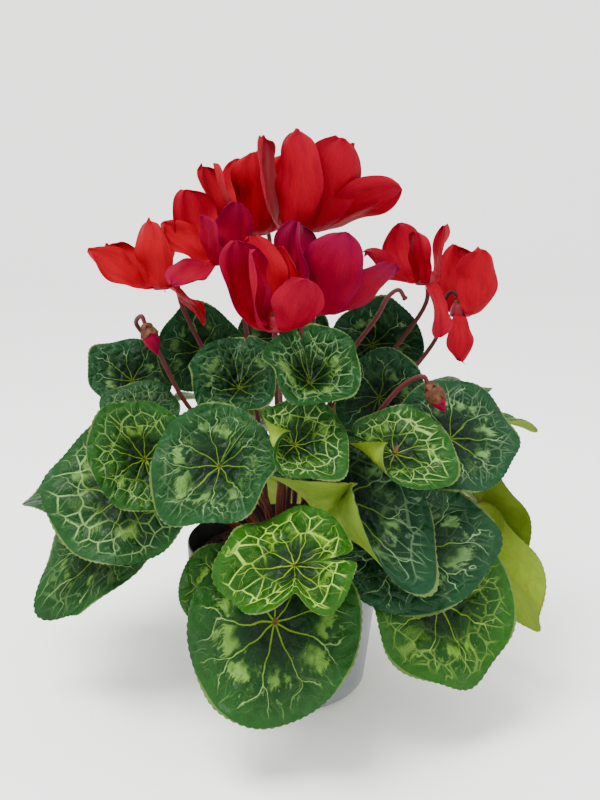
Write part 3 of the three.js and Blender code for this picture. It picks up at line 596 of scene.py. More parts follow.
def blade_fields(g, *ragged_noise):
    """What both sides of a blade are marked by: tone, unevenness, and the veins from 0 to 1."""
    plan = g.layer("plan")
    x, y, seed = g.parts(plan)
    warm, silver, netted = g.parts(g.layer("tone"))
    ragged = g.noise(plan, *ragged_noise)
    lump = g.noise(plan, 6.0, 2.0)
    wander = (g.noise(plan, 2.4, 2.0) - 0.5) * 0.9 + (lump - 0.5) * 0.22 + (ragged - 0.5) * 0.05
    # the reach is the distance from the petiole, and a sector runs from one main vein to the next
    reach = g.math("SQRT", x * x + y * y)
    sector = g.math("ARCTAN2", y, x) / VEIN_STEP + wander
    whole, side = sector.nearest()
    off = side * VEIN_STEP * reach
    chance = g.chance(whole + seed * 7.0)
    fork_at = 0.52 + chance * 0.16
    fork = g.math("MAXIMUM", reach - fork_at, 0.0) * (0.4 + chance * 0.4)
    main_width = 0.0145 - reach * 0.009
    main = (g.math("ABSOLUTE", off - fork) / main_width).falls(0.45, 1.0)
    main = main * (reach + chance * 0.12).falls(0.84, 0.98)
    # side veins leave a main vein aslant, and a short one runs out from the point where two forks meet
    rung_gap = 0.21
    rung = ((reach - off * 1.1 + wander * 0.5) / rung_gap + chance * 0.5).nearest()[1] * rung_gap
    branch = rung.falls(0.003, 0.011) * reach.rises(0.22, 0.36) * reach.falls(0.86, 0.95)
    branch = branch * side.rises(0.02, 0.08)
    gap = g.math("FLOOR", sector)
    between = g.math("ABSOLUTE", sector - gap - 0.5)
    twig = (between * VEIN_STEP * reach).falls(0.004, 0.011)
    twig = twig * reach.rises(0.76, 0.84) * reach.falls(0.9, 0.98)
    net = g.cells(g.vector(x + wander * 0.4, y + wander * 0.3, seed), 15.0).falls(0.02, 0.09)
    mesh = g.cells(g.vector(x + wander * 0.15, y + wander * 0.12, seed), 4.2)
    return Sizes(
        plan=plan, seed=seed, warm=warm, silver=silver, netted=netted, ragged=ragged, lump=lump,
        wander=wander, reach=reach, sector=sector, side=side, gap=gap, main=main, branch=branch,
        twig=twig, net=net, mesh=mesh)


def leaf_top():
    g = Graph("cyclamen_leaf_upper", 0.12)
    f = blade_fields(g, 13.0, 5.0, 0.65)
    warm, reach, ragged = f.warm, f.reach, f.ragged

    # darker towards the petiole's end: partly the leaf's own darker middle, partly painted shade in the cupped
    # centre of the funnel
    deep = g.mix(warm, (0, 14, 5), (2, 24, 0))
    middle = g.mix(warm, (2, 34, 12), (12, 54, 0))
    outer = g.mix(warm, (14, 54, 26), (32, 78, 2))
    base = g.coats(
        deep,
        ((reach + f.wander * 0.3).rises(0.15, 0.6), middle),
        ((reach + f.wander * 0.2).rises(0.6, 0.95) * 0.8, outer),
        (ragged.rises(0.35, 0.75) * 0.35, deep))
    # a pale band broken by the main veins, soft inside and ragged like a comb outside
    comb = g.noise(g.vector(f.sector * 9.0, reach * 2.0, f.seed), 2.2, 4.0, 0.7)
    luck = g.chance(f.gap * 3.1 + f.seed)
    away = reach - 0.5 - g.chance(f.gap * 1.7 + f.seed * 2.0) * 0.12 + (f.lump - 0.5) * 0.3
    outward = (away - (comb - 0.44) * 0.45).falls(0.05, 0.09)
    clear = (f.side + (ragged - 0.5) * 0.2).rises(0.08, 0.2)
    blotch = (g.noise(f.plan, 4.0, 2.0) + (ragged - 0.5) * 0.3).rises(0.43, 0.55)
    patch = away.rises(-0.13, 0.02) * outward * clear * blotch * (luck + f.silver * 0.7).rises(0.45, 0.85)
    frost = ragged.rises(0.6, 0.65) * reach.rises(0.3, 0.5) * reach.falls(0.75, 0.9) * f.silver
    base = g.coats(
        base,
        (patch * (0.5 + f.silver * 0.4), g.mix(warm, (90, 124, 66), (98, 138, 20))),
        (frost * 0.5, g.mix(warm, (96, 132, 96), (104, 140, 40))),
        (f.net * 0.12, outer))

    # the veins: main ones, finer ones, and a net that stands out on a netted blade
    inner_line = g.mix(warm, (76, 108, 14), (104, 132, 10))
    outer_line = g.mix(warm, (128, 162, 112), (144, 178, 62))
    web = f.mesh.falls(0.015, 0.05) * reach.rises(0.3, 0.5) * reach.falls(0.8, 0.92)
    thin = g.math("MAXIMUM", f.branch * 0.22, f.twig * 0.5) * (0.3 + f.netted * 0.5)
    thin = g.math("MAXIMUM", thin, web * f.netted * f.netted * 0.85)
    forked = f.main * (0.8 - reach.rises(0.55, 0.75) * (0.15 + f.netted * f.netted * 0.5))
    lines = g.math("MAXIMUM", forked, thin) * ragged.rises(0.15, 0.42)
    colour = g.coats(
        base,
        (lines, g.mix(reach.rises(0.35, 0.75), inner_line, outer_line)),
        (reach.falls(0.012, 0.045), (72, 26, 8)),
        (reach.rises(0.985, 0.997) * 0.5, (100, 116, 58)))

    grain = g.noise(g.place(), 900.0, 2.0)
    bulge = f.mesh.rises(0.0, 0.3) * 0.9 - f.main * 0.8 - f.branch * 0.3 - f.twig * 0.3
    bulge = bulge - f.net * 0.15 + grain * 0.1
    return g.finish(colour, 0.34 + ragged * 0.16 + patch * 0.1, bulge, 0.0018, 0.6)


def leaf_under():
    g = Graph("cyclamen_leaf_underside", 0.15)
    f = blade_fields(g, 9.0, 4.0)
    colour = g.coats(
        g.mix(f.warm, (92, 120, 30), (118, 142, 26)),
        (f.ragged.rises(0.35, 0.8) * 0.5, (134, 154, 50)),
        (f.reach.rises(0.55, 1.0) * 0.35, (88, 108, 24)),
        (f.main * 0.5, (136, 110, 48)),
        (f.branch * 0.3 + f.twig * 0.25, (74, 92, 18)),
        (f.reach.rises(0.982, 0.995) * 0.5, (112, 84, 40)))
    height = f.main * 1.2 + f.branch * 0.5 + f.twig * 0.3 + f.net * 0.1 + f.ragged * 0.2
    return g.finish(colour, 0.55 + f.ragged * 0.15, height, 0.0006, 0.5)


def stem_material(name, low, high):
    g = Graph(name, 0.2, Sheen_Weight=0.08, Sheen_Roughness=0.5)
    share, angle, _ = g.parts(g.layer("plan"))
    lengthways = g.vector(share * 30.0, g.math("SINE", angle) * 2.5, g.math("COSINE", angle) * 2.5)
    streak = g.noise(lengthways, 2.0, 4.0)
    mottle = g.noise(g.place(), 260.0, 4.0, 0.6)
    colour = g.mix((share + (streak - 0.5) * 0.5).rises(0.1, 0.95), low, high)
    colour = g.mix(mottle.rises(0.5, 0.75) * 0.5, colour, (52, 26, 24))
    return g.finish(colour, 0.5 + mottle * 0.2, mottle + streak * 0.5, 0.0004, 0.4)


def petal_material():
    g = Graph("cyclamen_petal", 0.05)
    along, across, number = g.parts(g.layer("plan"))
    crimson, magenta, _ = g.parts(g.layer("tone"))
    streak = g.noise(g.vector(along * 2.2, across * 13.0, number), 3.0, 4.0, 0.6)
    broad = g.noise(g.vector(along * 1.5, across * 1.5, number), 1.6, 2.0)
    edge = g.math("MAXIMUM", g.math("ABSOLUTE", across), along)
    # streaks, cloudy shadows, the rim, and the claw by the mouth, which is redder and has a dark foot
    body = g.coats(
        g.mix(crimson, (138, 0, 12), (108, 0, 28)),
        (streak.rises(0.35, 0.8) * 0.5, g.mix(crimson, (160, 0, 22), (132, 0, 42))),
        (broad.rises(0.45, 0.8) * 0.5, g.mix(crimson, (98, 0, 10), (74, 0, 24))),
        ((edge + (streak - 0.5) * 0.25).rises(0.66, 1.0) * magenta * 0.6, (96, 0, 48)),
        ((along + (streak - 0.5) * 0.1).falls(0.05, 0.3) * 0.4, (150, 2, 26)),
        (along.falls(0.0, 0.06) * 0.85, (54, 0, 22)))
    vein = streak * 0.8 + g.noise(g.place(), 1400.0, 2.0) * 0.2
    return g.finish(body, 0.45 + streak * 0.18, vein, 0.0012, 0.5)


def crown_material():
    g = Graph("cyclamen_bloom_mouth", 0.25)
    share = g.parts(g.layer("plan"))[0]
    mottle = g.noise(g.place(), 500.0)
    colour = g.mix(share.rises(0.2, 0.7), (52, 0, 22), (116, 0, 26))
    return g.finish(colour, 0.5 + mottle * 0.1, mottle, 0.0003, 0.4)


def speckled(name, base, light, dark, scale, roughness, distance, strength=0.6, specular=0.5):
    """An uneven earthy finish: three colours in two sizes of mottle."""
    g = Graph(name, specular)
    spot = g.place()
    coarse, fine = g.noise(spot, scale, 5.0, 0.65), g.noise(spot, scale * 6, 4.0, 0.6)
    colour = g.mix(coarse.rises(0.42, 0.66), base, light)
    colour = g.mix(fine.rises(0.52, 0.7) * 0.8, colour, dark)
    return g.finish(colour, roughness, coarse * 0.7 + fine * 0.3, distance, strength)


def cover_pot_material():
    g = Graph("cover_pot_glaze", 0.45, Coat_Weight=0.15, Coat_Roughness=0.25)
    spot = g.place()
    height = g.parts(spot)[2]
    cloud = g.noise(spot, 22.0)
    stipple = g.noise(spot, 1300.0, 2.0)
    rings = g.noise(g.vector(0.0, 0.0, height), 420.0, 2.0)
    colour = g.mix(cloud.rises(0.3, 0.7), (98, 100, 108), (112, 114, 120))
    colour = g.mix(height.falls(0.0, 0.012) * cloud * 0.7, colour, (150, 148, 142))
    colour = g.mix(stipple.rises(0.6, 0.75) * 0.15, colour, (160, 162, 166))
    return g.finish(colour, 0.36 + cloud * 0.12, stipple * 0.5 + rings * 0.5, 0.0002, 0.3)


def growing_pot_material():
    g = Graph("growing_pot_plastic", 0.4)
    spot = g.place()
    x, y, z = g.parts(spot)
    dust = g.noise(spot, 60.0, 5.0, 0.7)
    scuff = g.noise(g.vector(x, y, z * 8), 160.0, 4.0, 0.7)
    colour = g.mix(dust.rises(0.5, 0.75) * 0.5, (20, 20, 22), (66, 58, 50))
    colour = g.mix(scuff.rises(0.62, 0.7) * 0.35, colour, (84, 82, 80))
    return g.finish(colour, 0.42 + dust * 0.25, scuff, 0.0002, 0.3)


LEAF_TOP, LEAF_UNDER = leaf_top(), leaf_under()
PETIOLE_SKIN = stem_material("cyclamen_petiole", (84, 22, 8), (76, 48, 14))
STALK_SKIN = stem_material("cyclamen_stalk", (60, 14, 8), (72, 12, 14))
PETAL_SKIN, CROWN_SKIN = petal_material(), crown_material()
SEPAL_SKIN = speckled(
    "cyclamen_calyx", (62, 34, 20), (92, 58, 32), (34, 14, 12), 300.0, 0.7, 0.0004, specular=0.15)
STIGMA_SKIN = speckled(
    "cyclamen_stigma", (240, 214, 196), (250, 236, 224), (220, 150, 150), 500.0, 0.6, 0.0002)
SOIL_SKIN = speckled(
    "compost_peat", (34, 24, 18), (58, 42, 30), (14, 10, 8), 130.0, 0.95, 0.002, 0.8, specular=0.2)
TUBER_SKIN = speckled("tuber_bark", (84, 58, 42), (118, 86, 60), (48, 30, 22), 90.0, 0.85, 0.002, 0.8)
DRIED_SKIN = speckled("dried_stem", (66, 40, 28), (104, 66, 44), (30, 18, 14), 160.0, 0.8, 0.001, 0.7)


# ---------------------------------------------------------------- pots, compost and tuber
def rounded(profile, radius, steps=4):
    """A profile with its inner corners rounded off, so that an edge catches the light."""
    points = [point(p) for p in profile]
    out = [points[0]]
    for before, corner, after in zip(points, points[1:], points[2:]):
        into, away = before - corner, after - corner
        reach = min(radius, 0.45 * np.linalg.norm(into), 0.45 * np.linalg.norm(away))
        start, end = corner + unit(into) * reach, corner + unit(away) * reach
        for t in np.linspace(0, 1, steps):
            out.append((1 - t) ** 2 * start + 2 * t * (1 - t) * corner + t * t * end)
    return out + [points[-1]]


def make_cover_pot():
    p = COVER_POT
    outside = [(0, 0), (p.base - p.round, 0), *foot_arc(p.base, p.round, 15)]
    wall = [outside[-1]]
    for share in (0.33, 0.66):
        wall.append((p.base + (p.rim - p.base) * share, p.round + (p.height - p.round) * share))
    wall += [(p.rim, p.height), (p.rim - p.wall, p.height), (p.base - p.wall, p.round + p.floor),
             (p.base - p.wall - p.round, p.floor), (0, p.floor)]
    shape = Shape()
    add_turned(shape, outside + rounded(wall, 0.7)[1:], POT_SIDES, 0)
    shape.piece("cover_pot_shell", "cover_pot", [cover_pot_material()], 40)


def make_growing_pot():
    p = GROWING_POT
    base = COVER_POT.floor + GAP
    shoulder = COVER_POT.height + GAP
    profile = [(0, base), (p.base, base), (p.shoulder, shoulder), (p.lip - 0.4, shoulder),
               (p.lip, p.height - 1), (p.lip - 0.6, p.height), (p.lip - p.wall, p.height - 0.4),
               (p.lip - 2 * p.wall, shoulder + 2), (p.shoulder - p.wall, shoulder - 2),
               (p.base - p.wall, base + p.wall), (0, base + p.wall)]
    shape = Shape()
    add_turned(shape, rounded(profile, 0.6), POT_SIDES, 0)
    shape.piece("growing_pot_shell", "growing_pot", [growing_pot_material()], 40)


def make_compost():
    """Peaty crumbs heaped a little unevenly under the tuber's shoulders."""
    inset = GROWING_POT.wall + GAP
    base = COVER_POT.floor + GAP + inset
    side = GROWING_POT.shoulder - inset
    hollow = TUBER.radius + GAP
    profile = [(0, base), (GROWING_POT.base - inset, base), (side - 0.6, COVER_POT.height - 2),
               (side, COMPOST_TOP - 1.4), (side - 2, COMPOST_TOP)]
    profile += [(radius, COMPOST_TOP) for radius in np.arange(side - 3.2, TUBER.radius + 1, -1.2)]
    profile += [(hollow, COMPOST_TOP - 1), (hollow, TUBER.belly - 4), (hollow * 0.6, TUBER.bottom + 2 - GAP),
                (0, TUBER.bottom - GAP)]

    def heap(rings):
        lift = ripple(rings, 9, 5) * 0.9 + ripple(rings, 2.2, 6) * 0.5
        rings[..., 2] += np.where(rings[..., 2] > COMPOST_TOP - 0.5, lift, 0)

    shape = Shape()
    add_turned(shape, profile, 140, 0, wobble=heap)
    chance = np.random.default_rng(SEED)
    for _ in range(CRUMBS):
        radius, angle = chance.uniform(28, side - 2.5), chance.uniform(0, WHOLE_TURN)
        add_crumb(shape, around(radius, angle, COMPOST_TOP + 0.5), chance.uniform(0.6, 1.7), chance)
    shape.piece("compost_bed", "compost", [SOIL_SKIN], 60)


def add_crumb(shape, spot, size, chance):
    corners = [(1, 0, 0), (-1, 0, 0), (0, 1, 0), (0, -1, 0), (0, 0, 1), (0, 0, -1)]
    faces = [[0, 2, 4], [2, 1, 4], [1, 3, 4], [3, 0, 4], [2, 0, 5], [1, 2, 5], [3, 1, 5], [0, 3, 5]]
    bent = point(corners) * chance.uniform(0.5, 1.2, (6, 3)) * size + chance.normal(0, 0.25 * size, (6, 3))
    shape.add(spot + bent, faces, 0)


def make_tuber():
    t = TUBER
    skin_top = t.top - 0.4
    profile = [(0, t.bottom), (t.radius * 0.3, t.bottom + 0.6), (t.radius * 0.6, t.bottom + 2),
               (t.radius * 0.84, t.bottom + 5), (t.radius - 0.3, t.belly - 4), (t.radius, t.belly - 1),
               (t.radius - 0.1, t.belly + 2), (t.crown + 2.4, t.belly + 5), (t.crown, t.top - 0.8)]
    profile += [(radius, skin_top) for radius in np.arange(t.crown - 1.5, 1, -1.8)]
    profile.append((0, skin_top))

    def knobbly(rings):
        lump = ripple(rings, 7, 8) * 0.45 + ripple(rings, 2, 9) * 0.25
        rings[..., :2] *= 1 - 0.02 * np.abs(lump)[..., None]
        rings[..., 2] += np.where(rings[..., 2] > t.belly + 6, lump - 0.3, 0)

    shape = Shape()
    add_turned(shape, profile, 64, 0, wobble=knobbly)
    shape.piece("tuber_crown", "tuber", [TUBER_SKIN], 60)


# ---------------------------------------------------------------- roots on the tuber's crown
slots = []
for i in range(CROWN.slots):
    radius, angle = CROWN.pitch * math.sqrt(i + 0.5), i * math.pi * (3 - math.sqrt(5))
    slots.append(around(radius, angle, TUBER.top - CROWN.depth))


def claim_root(towards, reach):
    """The free slot nearest to the way that a stem leaves, taken for it, in the solids' own order."""
    wanted = min(CROWN.pitch * math.sqrt(CROWN.slots), reach)
    aim = unit(towards[:2]) * wanted
    distances = [math.hypot(*(slot[:2] - aim)) for slot in slots]
    return slots.pop(distances.index(min(distances)))


# ---------------------------------------------------------------- leaves
def blade_radius(leaf, degrees, ends, softness):
    from_tip = np.abs(degrees)
    outline = 1 + leaf.apex * (hill(from_tip, 18) - 1) - 0.12 * (from_tip / 180) ** 2
    for middle, span, depth in leaf.bays:
        outline = outline - depth * hill(degrees - middle, span)
    to_slit = np.where(degrees > 0, ends[1] - degrees, degrees - ends[0])
    return leaf.length * outline * np.tanh(np.maximum(0, to_slit) / softness)


def blade_slope(leaf, degrees, share):
    turn = np.radians(degrees)
    slope = leaf.cone + leaf.fold * np.sin(turn) ** 2
    slope = slope + leaf.drop * np.maximum(0, np.cos(turn)) ** 2 * share
    slope = slope + leaf.wave * share * np.sin(leaf.lobes * turn + math.radians(leaf.phase))
    slope = slope + leaf.heel * np.maximum(0, -np.cos(turn)) ** 1.5 * ease(share / 0.5)
    for middle, span, curl, start, end in leaf.curls:
        over = ease((share - start) / (end - start))
        slope = slope + curl * hill(degrees - middle, span) * over
    return slope


def blade_points(leaf, share, degrees, ends=(-180, 180), softness=SINUS):
    """Points of the blade in its own frame: x along the midrib, y to its left, z out of the upper side."""
    share, degrees = np.broadcast_arrays(share, degrees)
    length = blade_radius(leaf, degrees, ends, softness)
    out, high, _ = bent_strip(0.0, 0.0, length, share, lambda share: blade_slope(leaf, degrees, share))
    turn = np.radians(degrees)
    return stacked(out * np.cos(turn), leaf.width * out * np.sin(turn), high)


def blade_frame(leaf, push):
    """The blade's origin and its x, y and z ways as rows."""
    ahead = unit(leaf.tip - leaf.at)
    face = unit(leaf.face - ahead * (leaf.face @ ahead))
    return leaf.at + face * push, np.array([ahead, np.cross(face, ahead), face])


def petiole(leaf, push, root, bend, steps):
    """The petiole's middle line, from its root to the blade."""
    rise, sway = bend
    end, ways = blade_frame(leaf, push)
    away = end - root
    height = PETIOLE.rise + rise + max(0, away[2]) * 0.2
    away[2] = 0
    aside = np.cross(unit(away), UP)
    first = root + away * PETIOLE.lean + UP * height + aside * sway
    second = end - ways[2] * leaf.back + UP * (leaf.arch + rise * 0.5) + aside * sway * 0.6
    return bezier([root, first, second, end], steps)


def add_blade(shape, leaf, origin, ways, number):
    """The blade, with toothed margin, veins sunk in its upper side and the flesh swelling between them."""
    ends = (-180, 180 + LAP) if leaf.lap else (-179, 179)
    degrees = np.linspace(ends[0] + 0.4, ends[1] - 0.4, BLADE_RAYS)
    share, degrees = np.meshgrid(np.linspace(0, 1, BLADE_RINGS) ** 0.9, degrees, indexing="ij")
    turn = np.radians(degrees)
    tooth = np.abs(np.sin(turn * TEETH / 2))
    uneven = UNEVEN[0] * np.sin(turn * 3 + number) + UNEVEN[1] * np.sin(turn * 7 + number * 2)
    share = share * (1 - (INSET - uneven - TOOTH * tooth) * share**10)
    local = blade_points(leaf, share, degrees, ends, 2.5 if leaf.lap else 5)
    if leaf.lap:
        local[..., 2] += LAP_LIFT * share * ease((degrees - 150) / 25)
    normals = sheet_normals(local)
    normals[0] = unit(normals[1].mean(axis=0))
    sector = turn / VEIN_STEP
    side = np.abs(sector - np.round(sector))
    swell = SWELL * (1 - np.exp(-((side * share * 9) ** 2))) * ease(share / 0.3)
    swell = swell * (1 - ease((share - 0.9) / 0.1))
    crinkle = ripple(around(share, turn, number), 0.22, SEED) * CRINKLE
    local = local + normals * (swell + crinkle * ease(share / 0.4))[..., None]
    thickness = THICKNESS.blade - THINNING.blade * share**6
    plan = around(share, turn, number * 3.7)
    add_sheet(shape, origin + local @ ways, normals @ ways, thickness, 1, plan, leaf.tone, fan=True)


def make_leaf(leaf, number):
    name = f"leaf_{number:02d}"
    root = claim_root(leaf.at, ROOT_REACH.high_leaf if leaf.at[2] > HIGH_LEAF else ROOT_REACH.low_leaf)
    share, rays = leaf.ring
    probes = (180 - SINUS) * (2 * np.array([3, rays // 2, rays - 5]) / (rays - 1) - 1)

    def on_blade(push):
        origin, ways = blade_frame(leaf, push)
        return origin + blade_points(leaf, share, probes) @ ways

    push = fitted(name, PUSHES, on_blade, SHEET_PAIR)
    bend = fitted(name, BENDS, lambda bend: petiole(leaf, push, root, bend, PETIOLE.steps)[1:4], STEM_RING)
    shape = Shape()
    add_blade(shape, leaf, *blade_frame(leaf, push), number)
    path = petiole(leaf, push, root, bend, 36)
    radii = PETIOLE.radius * (1.0 - 0.12 * np.linspace(0, 1, len(path)))
    add_tube(shape, path, radii, STEM_SIDES, 2, STEM_LUMPS, number)
    shape.piece(name + "_dressed", name, [LEAF_TOP, LEAF_UNDER, PETIOLE_SKIN])


# ---------------------------------------------------------------- blooms, buds and stalks
def bloom_frame(bloom, push, side=0):
    """The mouth's middle and its x, y and z ways as rows, turned to a side."""
    up = unit(bloom.sweep)
    right = unit(point([1, 0, 0]) - up * up[0])
    ways = turn_about_z(np.eye(3), side) @ np.array([right, np.cross(up, right), up])
    return bloom.mouth + point([0, -push, 0]), ways


def petal_width(along):
    widening = np.sin(math.pi / 2 * np.clip(along / PETAL.widest, 0, 1)) ** 1.3
    rounding = np.sqrt(np.maximum(0.02, 1 - np.maximum(0, (along - PETAL.widest) / (1 - PETAL.widest)) ** 2.2))
    return (PETAL.claw + (1 - PETAL.claw) * widening) * rounding


def petal_points(petal, along, across):
    side, stand, flare, length = petal
    along, across = np.broadcast_arrays(along, across)

    def slope(share):
        return -10 + (stand + 10) * ease(share / 0.22) + (flare - stand) * ease((share - 0.2) / 0.8)

    out, high, lean = bent_strip(CROWN_TUBE.rim - 1.6, 1.0, length, along, slope)
    turn = math.radians(PETAL.twist) * ease(along / 0.35)
    reach = PETAL.width * length * petal_width(along)
    off = 0.5 * reach * across * np.sin(turn) - PETAL.hollow * reach * across**2
    spots = stacked(out + off * np.sin(lean), 0.5 * reach * across * np.cos(turn), high - off * np.cos(lean))
    return turn_about_z(spots, side)


def add_petal(shape, petal, origin, ways, chance, seed, tone):
    """A petal with a blunt point, a little to one side, an uneven margin, a crease and soft folds."""
    along = np.linspace(0, 1, PETAL_ROWS) ** 0.9
    along, across = np.meshgrid(along, np.linspace(-1, 1, PETAL_COLUMNS), indexing="ij")
    grown, half = ease((along - 0.25) / 0.4), np.sign(across)
    lean = chance.uniform(-0.3, 0.3)
    sharp = chance.uniform(0.0, 0.03) * hill(across - lean, 0.6) * ease((along - 0.7) / 0.3)
    margin = 1 + PETAL_MARGIN * np.sin(along * 11 + chance.uniform(0, 6)) * half * grown
    local = petal_points(petal, along * (1 + sharp), across * margin)
    phase = chance.uniform(0, 6, 3)
    wave = PETAL_FOLDS.wave * np.abs(across) ** 2.5 * np.sin(along * 8 + phase[0] + 2 * half) * grown
    crease = -PETAL_FOLDS.crease * hill(across, 0.16) * ease(along / 0.3) * (1 - ease((along - 0.8) / 0.2))
    folds = PETAL_FOLDS.across * np.sin(across * 8 + phase[1])
    folds = folds + PETAL_FOLDS.along * np.sin(along * 6 + phase[2])
    local = local + sheet_normals(local) * (wave + crease + folds * grown)[..., None]
    thickness = THICKNESS.petal - THINNING.petal * np.maximum(np.abs(across), along) ** 4
    plan = stacked(along, across, seed)
    add_sheet(shape, origin + local @ ways, sheet_normals(local) @ ways, thickness, 0, plan, (*tone, 0))


def stalk_path(root, ending, rise, sway, steps):
    away = ending[0] - root
    aside = np.cross(unit(point([away[0], away[1], 0.001])), UP)
    waists = []
    for share, lift in zip(STALK.waists, (rise, 0)):
        bow = point([-0.08 * away[0], -0.08 * away[1], lift])
        waists.append(root + away * share + aside * sway + bow)
    return through([root, root + point([away[0] * 0.06, away[1] * 0.06, 14]), *waists, *ending], steps)


def sepal_lobes(power):
    """Angles round a calyx, and how far towards a sepal's tip each one is."""
    angle = angles_round(SEPAL_SIDES)
    return angle, np.abs(np.cos(SEPALS / 2 * angle)) ** power


def add_calyx(shape, origin, ways, height):
    """Five pointed sepals clasped round the foot of a bloom or bud, opening down their own axis."""
    angle, lobe = sepal_lobes(1.6)
    share = np.linspace(0, 1, 9)[:, None]
    radius = 0.4 + 2.9 * np.sin(share * math.pi / 2) + 0.35 * share * lobe
    drop = height + 2.9 - 2.0 * share - 2.1 * share**2 * lobe
    add_cup(shape, origin, ways, (radius, radius - 0.35), angle, drop)


def make_stalk(name, root, ending, calyx, number):
    """A hairy stalk that ends in the calyx, given as its origin, ways and height, or in a dry knob."""
    rise, sway = fitted(
        name, BENDS, lambda bend: stalk_path(root, ending, *bend, STALK.steps)[1:9], STEM_RING)
    path = stalk_path(root, ending, rise, sway, 9)
    radii = STALK.radius * (1.06 - 0.2 * np.linspace(0, 1, len(path)))
    shape = Shape()
    add_tube(shape, path, radii, STEM_SIDES, 0, STEM_LUMPS, number + 40)
    add_hairs(shape, path[len(path) // 3:], STALK.radius * 0.95, STALK_HAIRS, number)
    if calyx:
        add_calyx(shape, *calyx)
    else:
        knob = np.array([path[-1], path[-1] + (path[-1] - path[-2]) * 2])
        add_tube(shape, knob, [1.7, 1.2], STEM_SIDES, 1)
    shape.piece(name + "_dressed", name, [STALK_SKIN, SEPAL_SKIN])


def make_bloom(bloom, number):
    name = f"bloom_{number}"

    def on_petals(push):
        origin, ways = bloom_frame(bloom, push)
        return [origin + petal_points(petal, PETAL_PROBE, 0.0) @ ways for petal in bloom.petals]

    push = fitted(name, PUSHES, on_petals, SHEET_PAIR)
    origin, ways = bloom_frame(bloom, push)
    shape = Shape()
    for i, petal in enumerate(bloom.petals):
        chance = np.random.default_rng(SEED + number * 10 + i)
        add_petal(shape, petal, origin, ways, chance, number * 5.0 + i, bloom.others.get(i, bloom.tone))

    tube = CROWN_TUBE
    profile = [(0, 4), (1.6, 3.4), (2.6, 2.2), (tube.mouth, 0.3), (tube.mouth + 0.6, -0.4),
               (tube.rim - 0.6, -0.3), (tube.rim, 0.4), (tube.rim - 0.2, 2.2), (tube.rim - 0.9, 5.2),
               (tube.rim - 1.9, tube.top - 0.5), (2, tube.top), (0, tube.top)]

    def five_sided(rings):
        angle = np.arctan2(rings[..., 1], rings[..., 0])
        rings[..., :2] *= (1 + 0.05 * np.cos(5 * angle))[..., None]

    add_turned(shape, profile, 50, 1, lambda spots: origin + spots @ ways, wobble=five_sided)
    style = [origin + point(spot) @ ways for spot in ([0, 0, 4.5], [0, 0, 1], [0.2, 0, -1.6], [0.2, 0, -2.4])]
    add_tube(shape, through(style, 4), [0.35] * 9 + [0.4, 0.55, 0.6, 0.35], 8, 2)
    shape.piece(name + "_petals", name, [PETAL_SKIN, CROWN_SKIN, STIGMA_SKIN])

    # the stalk comes up between two petals and bends over into the tube
    gap_origin, gap_ways = bloom_frame(bloom, push, bloom.gap)
    top = tube.top + GAP
    ending = [gap_origin + point(spot) @ gap_ways
              for spot in ([12.5, 0, -10], [11.5, 0, 3], [5.5, 0, top + 5], [0, 0, top + 2])]
    root = claim_root(bloom.mouth, ROOT_REACH.bloom)
    make_stalk(name + "_stalk", root, ending, (origin, ways, top - 0.8), number)


def make_bud(bud, number):
    """Petals rolled round each other like a furled umbrella."""
    name = f"bud_{number}"
    base = point(bud.base)
    way = point(bud.tip) - base
    length = np.linalg.norm(way)
    way = unit(way)
    side = unit(np.cross(way, UP))
    ways = np.array([side, np.cross(way, side), way])

    def swelling(share):
        return BUD_RADIUS * np.sin(math.pi * share**0.75) ** 0.8

    share = np.linspace(0, 1, 26)
    profile = [(0, 0), *zip(swelling(share[1:-1]), share[1:-1] * length), (0, length)]

    def furled(rings):
        angle = np.arctan2(rings[..., 1], rings[..., 0])
        lap = np.mod((angle + rings[..., 2] * 0.16) * 5 / WHOLE_TURN, 1)
        rings[..., :2] *= (0.86 + 0.14 * lap)[..., None]

    shape = Shape()
    add_turned(shape, profile, 80, 0, lambda spots: base + spots @ ways, (0.9, 0.6, 0), furled)
    # the sepals, which still wrap the bud's foot and more of a younger bud
    angle, lobe = sepal_lobes(0.7)
    run = np.linspace(0.02, 1, 12)[:, None] * bud.husk * (0.7 + 0.3 * lobe)
    wrap = swelling(run)
    add_cup(shape, base, ways, (wrap + 0.1, wrap + 0.45), angle, run * length)
    middle = np.array([base + way, base + way * length * bud.husk])
    add_hairs(shape, middle, BUD_RADIUS * 0.9, BUD_HAIRS, number)
    shape.piece(name + "_furled", name, [PETAL_SKIN, SEPAL_SKIN], 35)

    ending = [point(spot) for spot in bud.by] + [base - way * 5, base - way * 1.5]
    back = np.array([side, -np.cross(way, side), -way])
    make_stalk(name + "_stalk", claim_root(base, ROOT_REACH.bud), ending, (base, back, -1.2), number + 20)


def make_spent_stalk():
    ending = [point(spot) for spot in SPENT_STALK]
    make_stalk("spent_stalk", claim_root(ending[0], ROOT_REACH.spent_stalk), ending, None, 30)


def make_dried_stems():
    dried, lip = DRIED_STEMS, GROWING_POT.lip
    over = lip + dried.radius + 2 * GAP
    shape = Shape()
    for i, (degrees, fall) in enumerate(zip(dried.side, dried.fall)):
        way = around(1, math.radians(degrees), 0)
        points = [point(dried.base), way * (lip - 6) + UP * 88, way * over + UP * (GROWING_POT.height + 1),
                  way * (over + 1) + UP * fall]
        path = through(points, 14)
        share = np.linspace(0, 1, len(path))
        radii = dried.radius * (1 - 0.35 * share + 0.25 * np.sin(share * 19 + i))
        add_tube(shape, path, radii, 10, 0, uneven=0.35, seed=60 + i)
    shape.piece("dried_stems_shrivelled", "dried_stems", [DRIED_SKIN], 60)


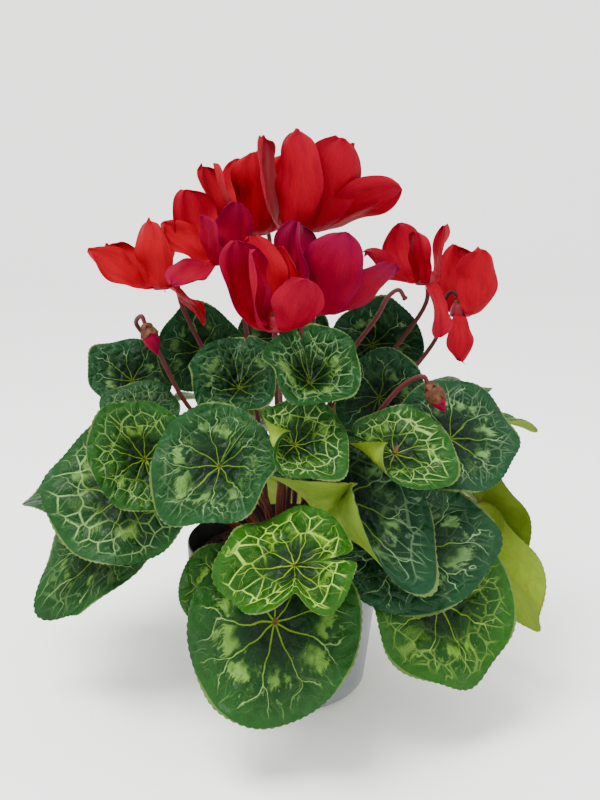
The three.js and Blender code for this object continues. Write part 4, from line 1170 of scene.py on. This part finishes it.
make_cover_pot()
make_growing_pot()
make_compost()
make_tuber()
for number, row in enumerate(LEAVES[:BEHIND_BLOOMS], 1):
    make_leaf(row, number)
for number, row in enumerate(BLOOMS, 1):
    make_bloom(row, number)
for number, row in enumerate(BUDS, 1):
    make_bud(row, number)
make_spent_stalk()
make_dried_stems()
for number, row in enumerate(LEAVES[BEHIND_BLOOMS:], BEHIND_BLOOMS + 1):
    make_leaf(row, number)

# ---------------------------------------------------------------- stage, light and camera, in metres
FLOOR = Sizes(depth=2.2, bend=0.6, wall=2.6, half_width=3.0)
SKY, SKY_STRENGTH = (0.95, 0.97, 1.0, 1), 2.0
CAMERA = Sizes(lens=45, sensor=36, at=(0.0084, -0.5235, 0.2986), tilt=75.5)    # mm, mm, metres, degrees


def make_stage():
    """A pale floor that curves up into the wall behind, as one sheet."""
    f = FLOOR
    profile = [(-f.depth, 0.0), (f.depth - f.bend, 0.0), *foot_arc(f.depth, f.bend, 10), (f.depth, f.wall)]
    mesh = bpy.data.meshes.new("floor")
    vertices = [(x, y, z) for y, z in profile for x in (-f.half_width, f.half_width)]
    faces = [[2 * i, 2 * i + 1, 2 * i + 3, 2 * i + 2] for i in range(len(profile) - 1)]
    mesh.from_pydata(vertices, [], faces)
    mesh.shade_smooth()
    g = Graph("pale_floor", 0.2)
    cloud = g.noise(g.place(), 2.0, 2.0)
    mesh.materials.append(g.finish(g.mix(cloud, (250, 249, 245), (253, 252, 249)), 0.7))
    linked("floor", mesh)


def make_light(name, spot, aim, size, power):
    lamp = bpy.data.lights.new(name, "AREA")
    lamp.shape, lamp.size, lamp.energy = "DISK", size, power
    made = linked(name, lamp)
    made.location = spot
    way = unit(point(aim) - point(spot))
    made.rotation_euler = (math.acos(-way[2]), 0, math.atan2(way[0], -way[1]) + math.pi)


def make_world():
    world = bpy.data.worlds.new("soft_room")
    world.use_nodes = True
    background = world.node_tree.nodes["Background"]
    background.inputs["Color"].default_value = SKY
    background.inputs["Strength"].default_value = SKY_STRENGTH
    bpy.context.scene.world = world


def make_camera():
    camera = bpy.data.cameras.new("photo_view")
    camera.lens, camera.sensor_width = CAMERA.lens, CAMERA.sensor
    holder = linked("photo_view", camera)
    holder.location = CAMERA.at
    holder.rotation_euler = (math.radians(CAMERA.tilt), 0, 0)
    bpy.context.scene.camera = holder


make_stage()
make_light("key", (-0.4, -0.5, 1.5), (0, 0, 0.1), 0.8, 42)
make_light("fill", (1.2, -0.9, 0.9), (0, 0, 0.12), 1.2, 6)
make_world()
make_camera()
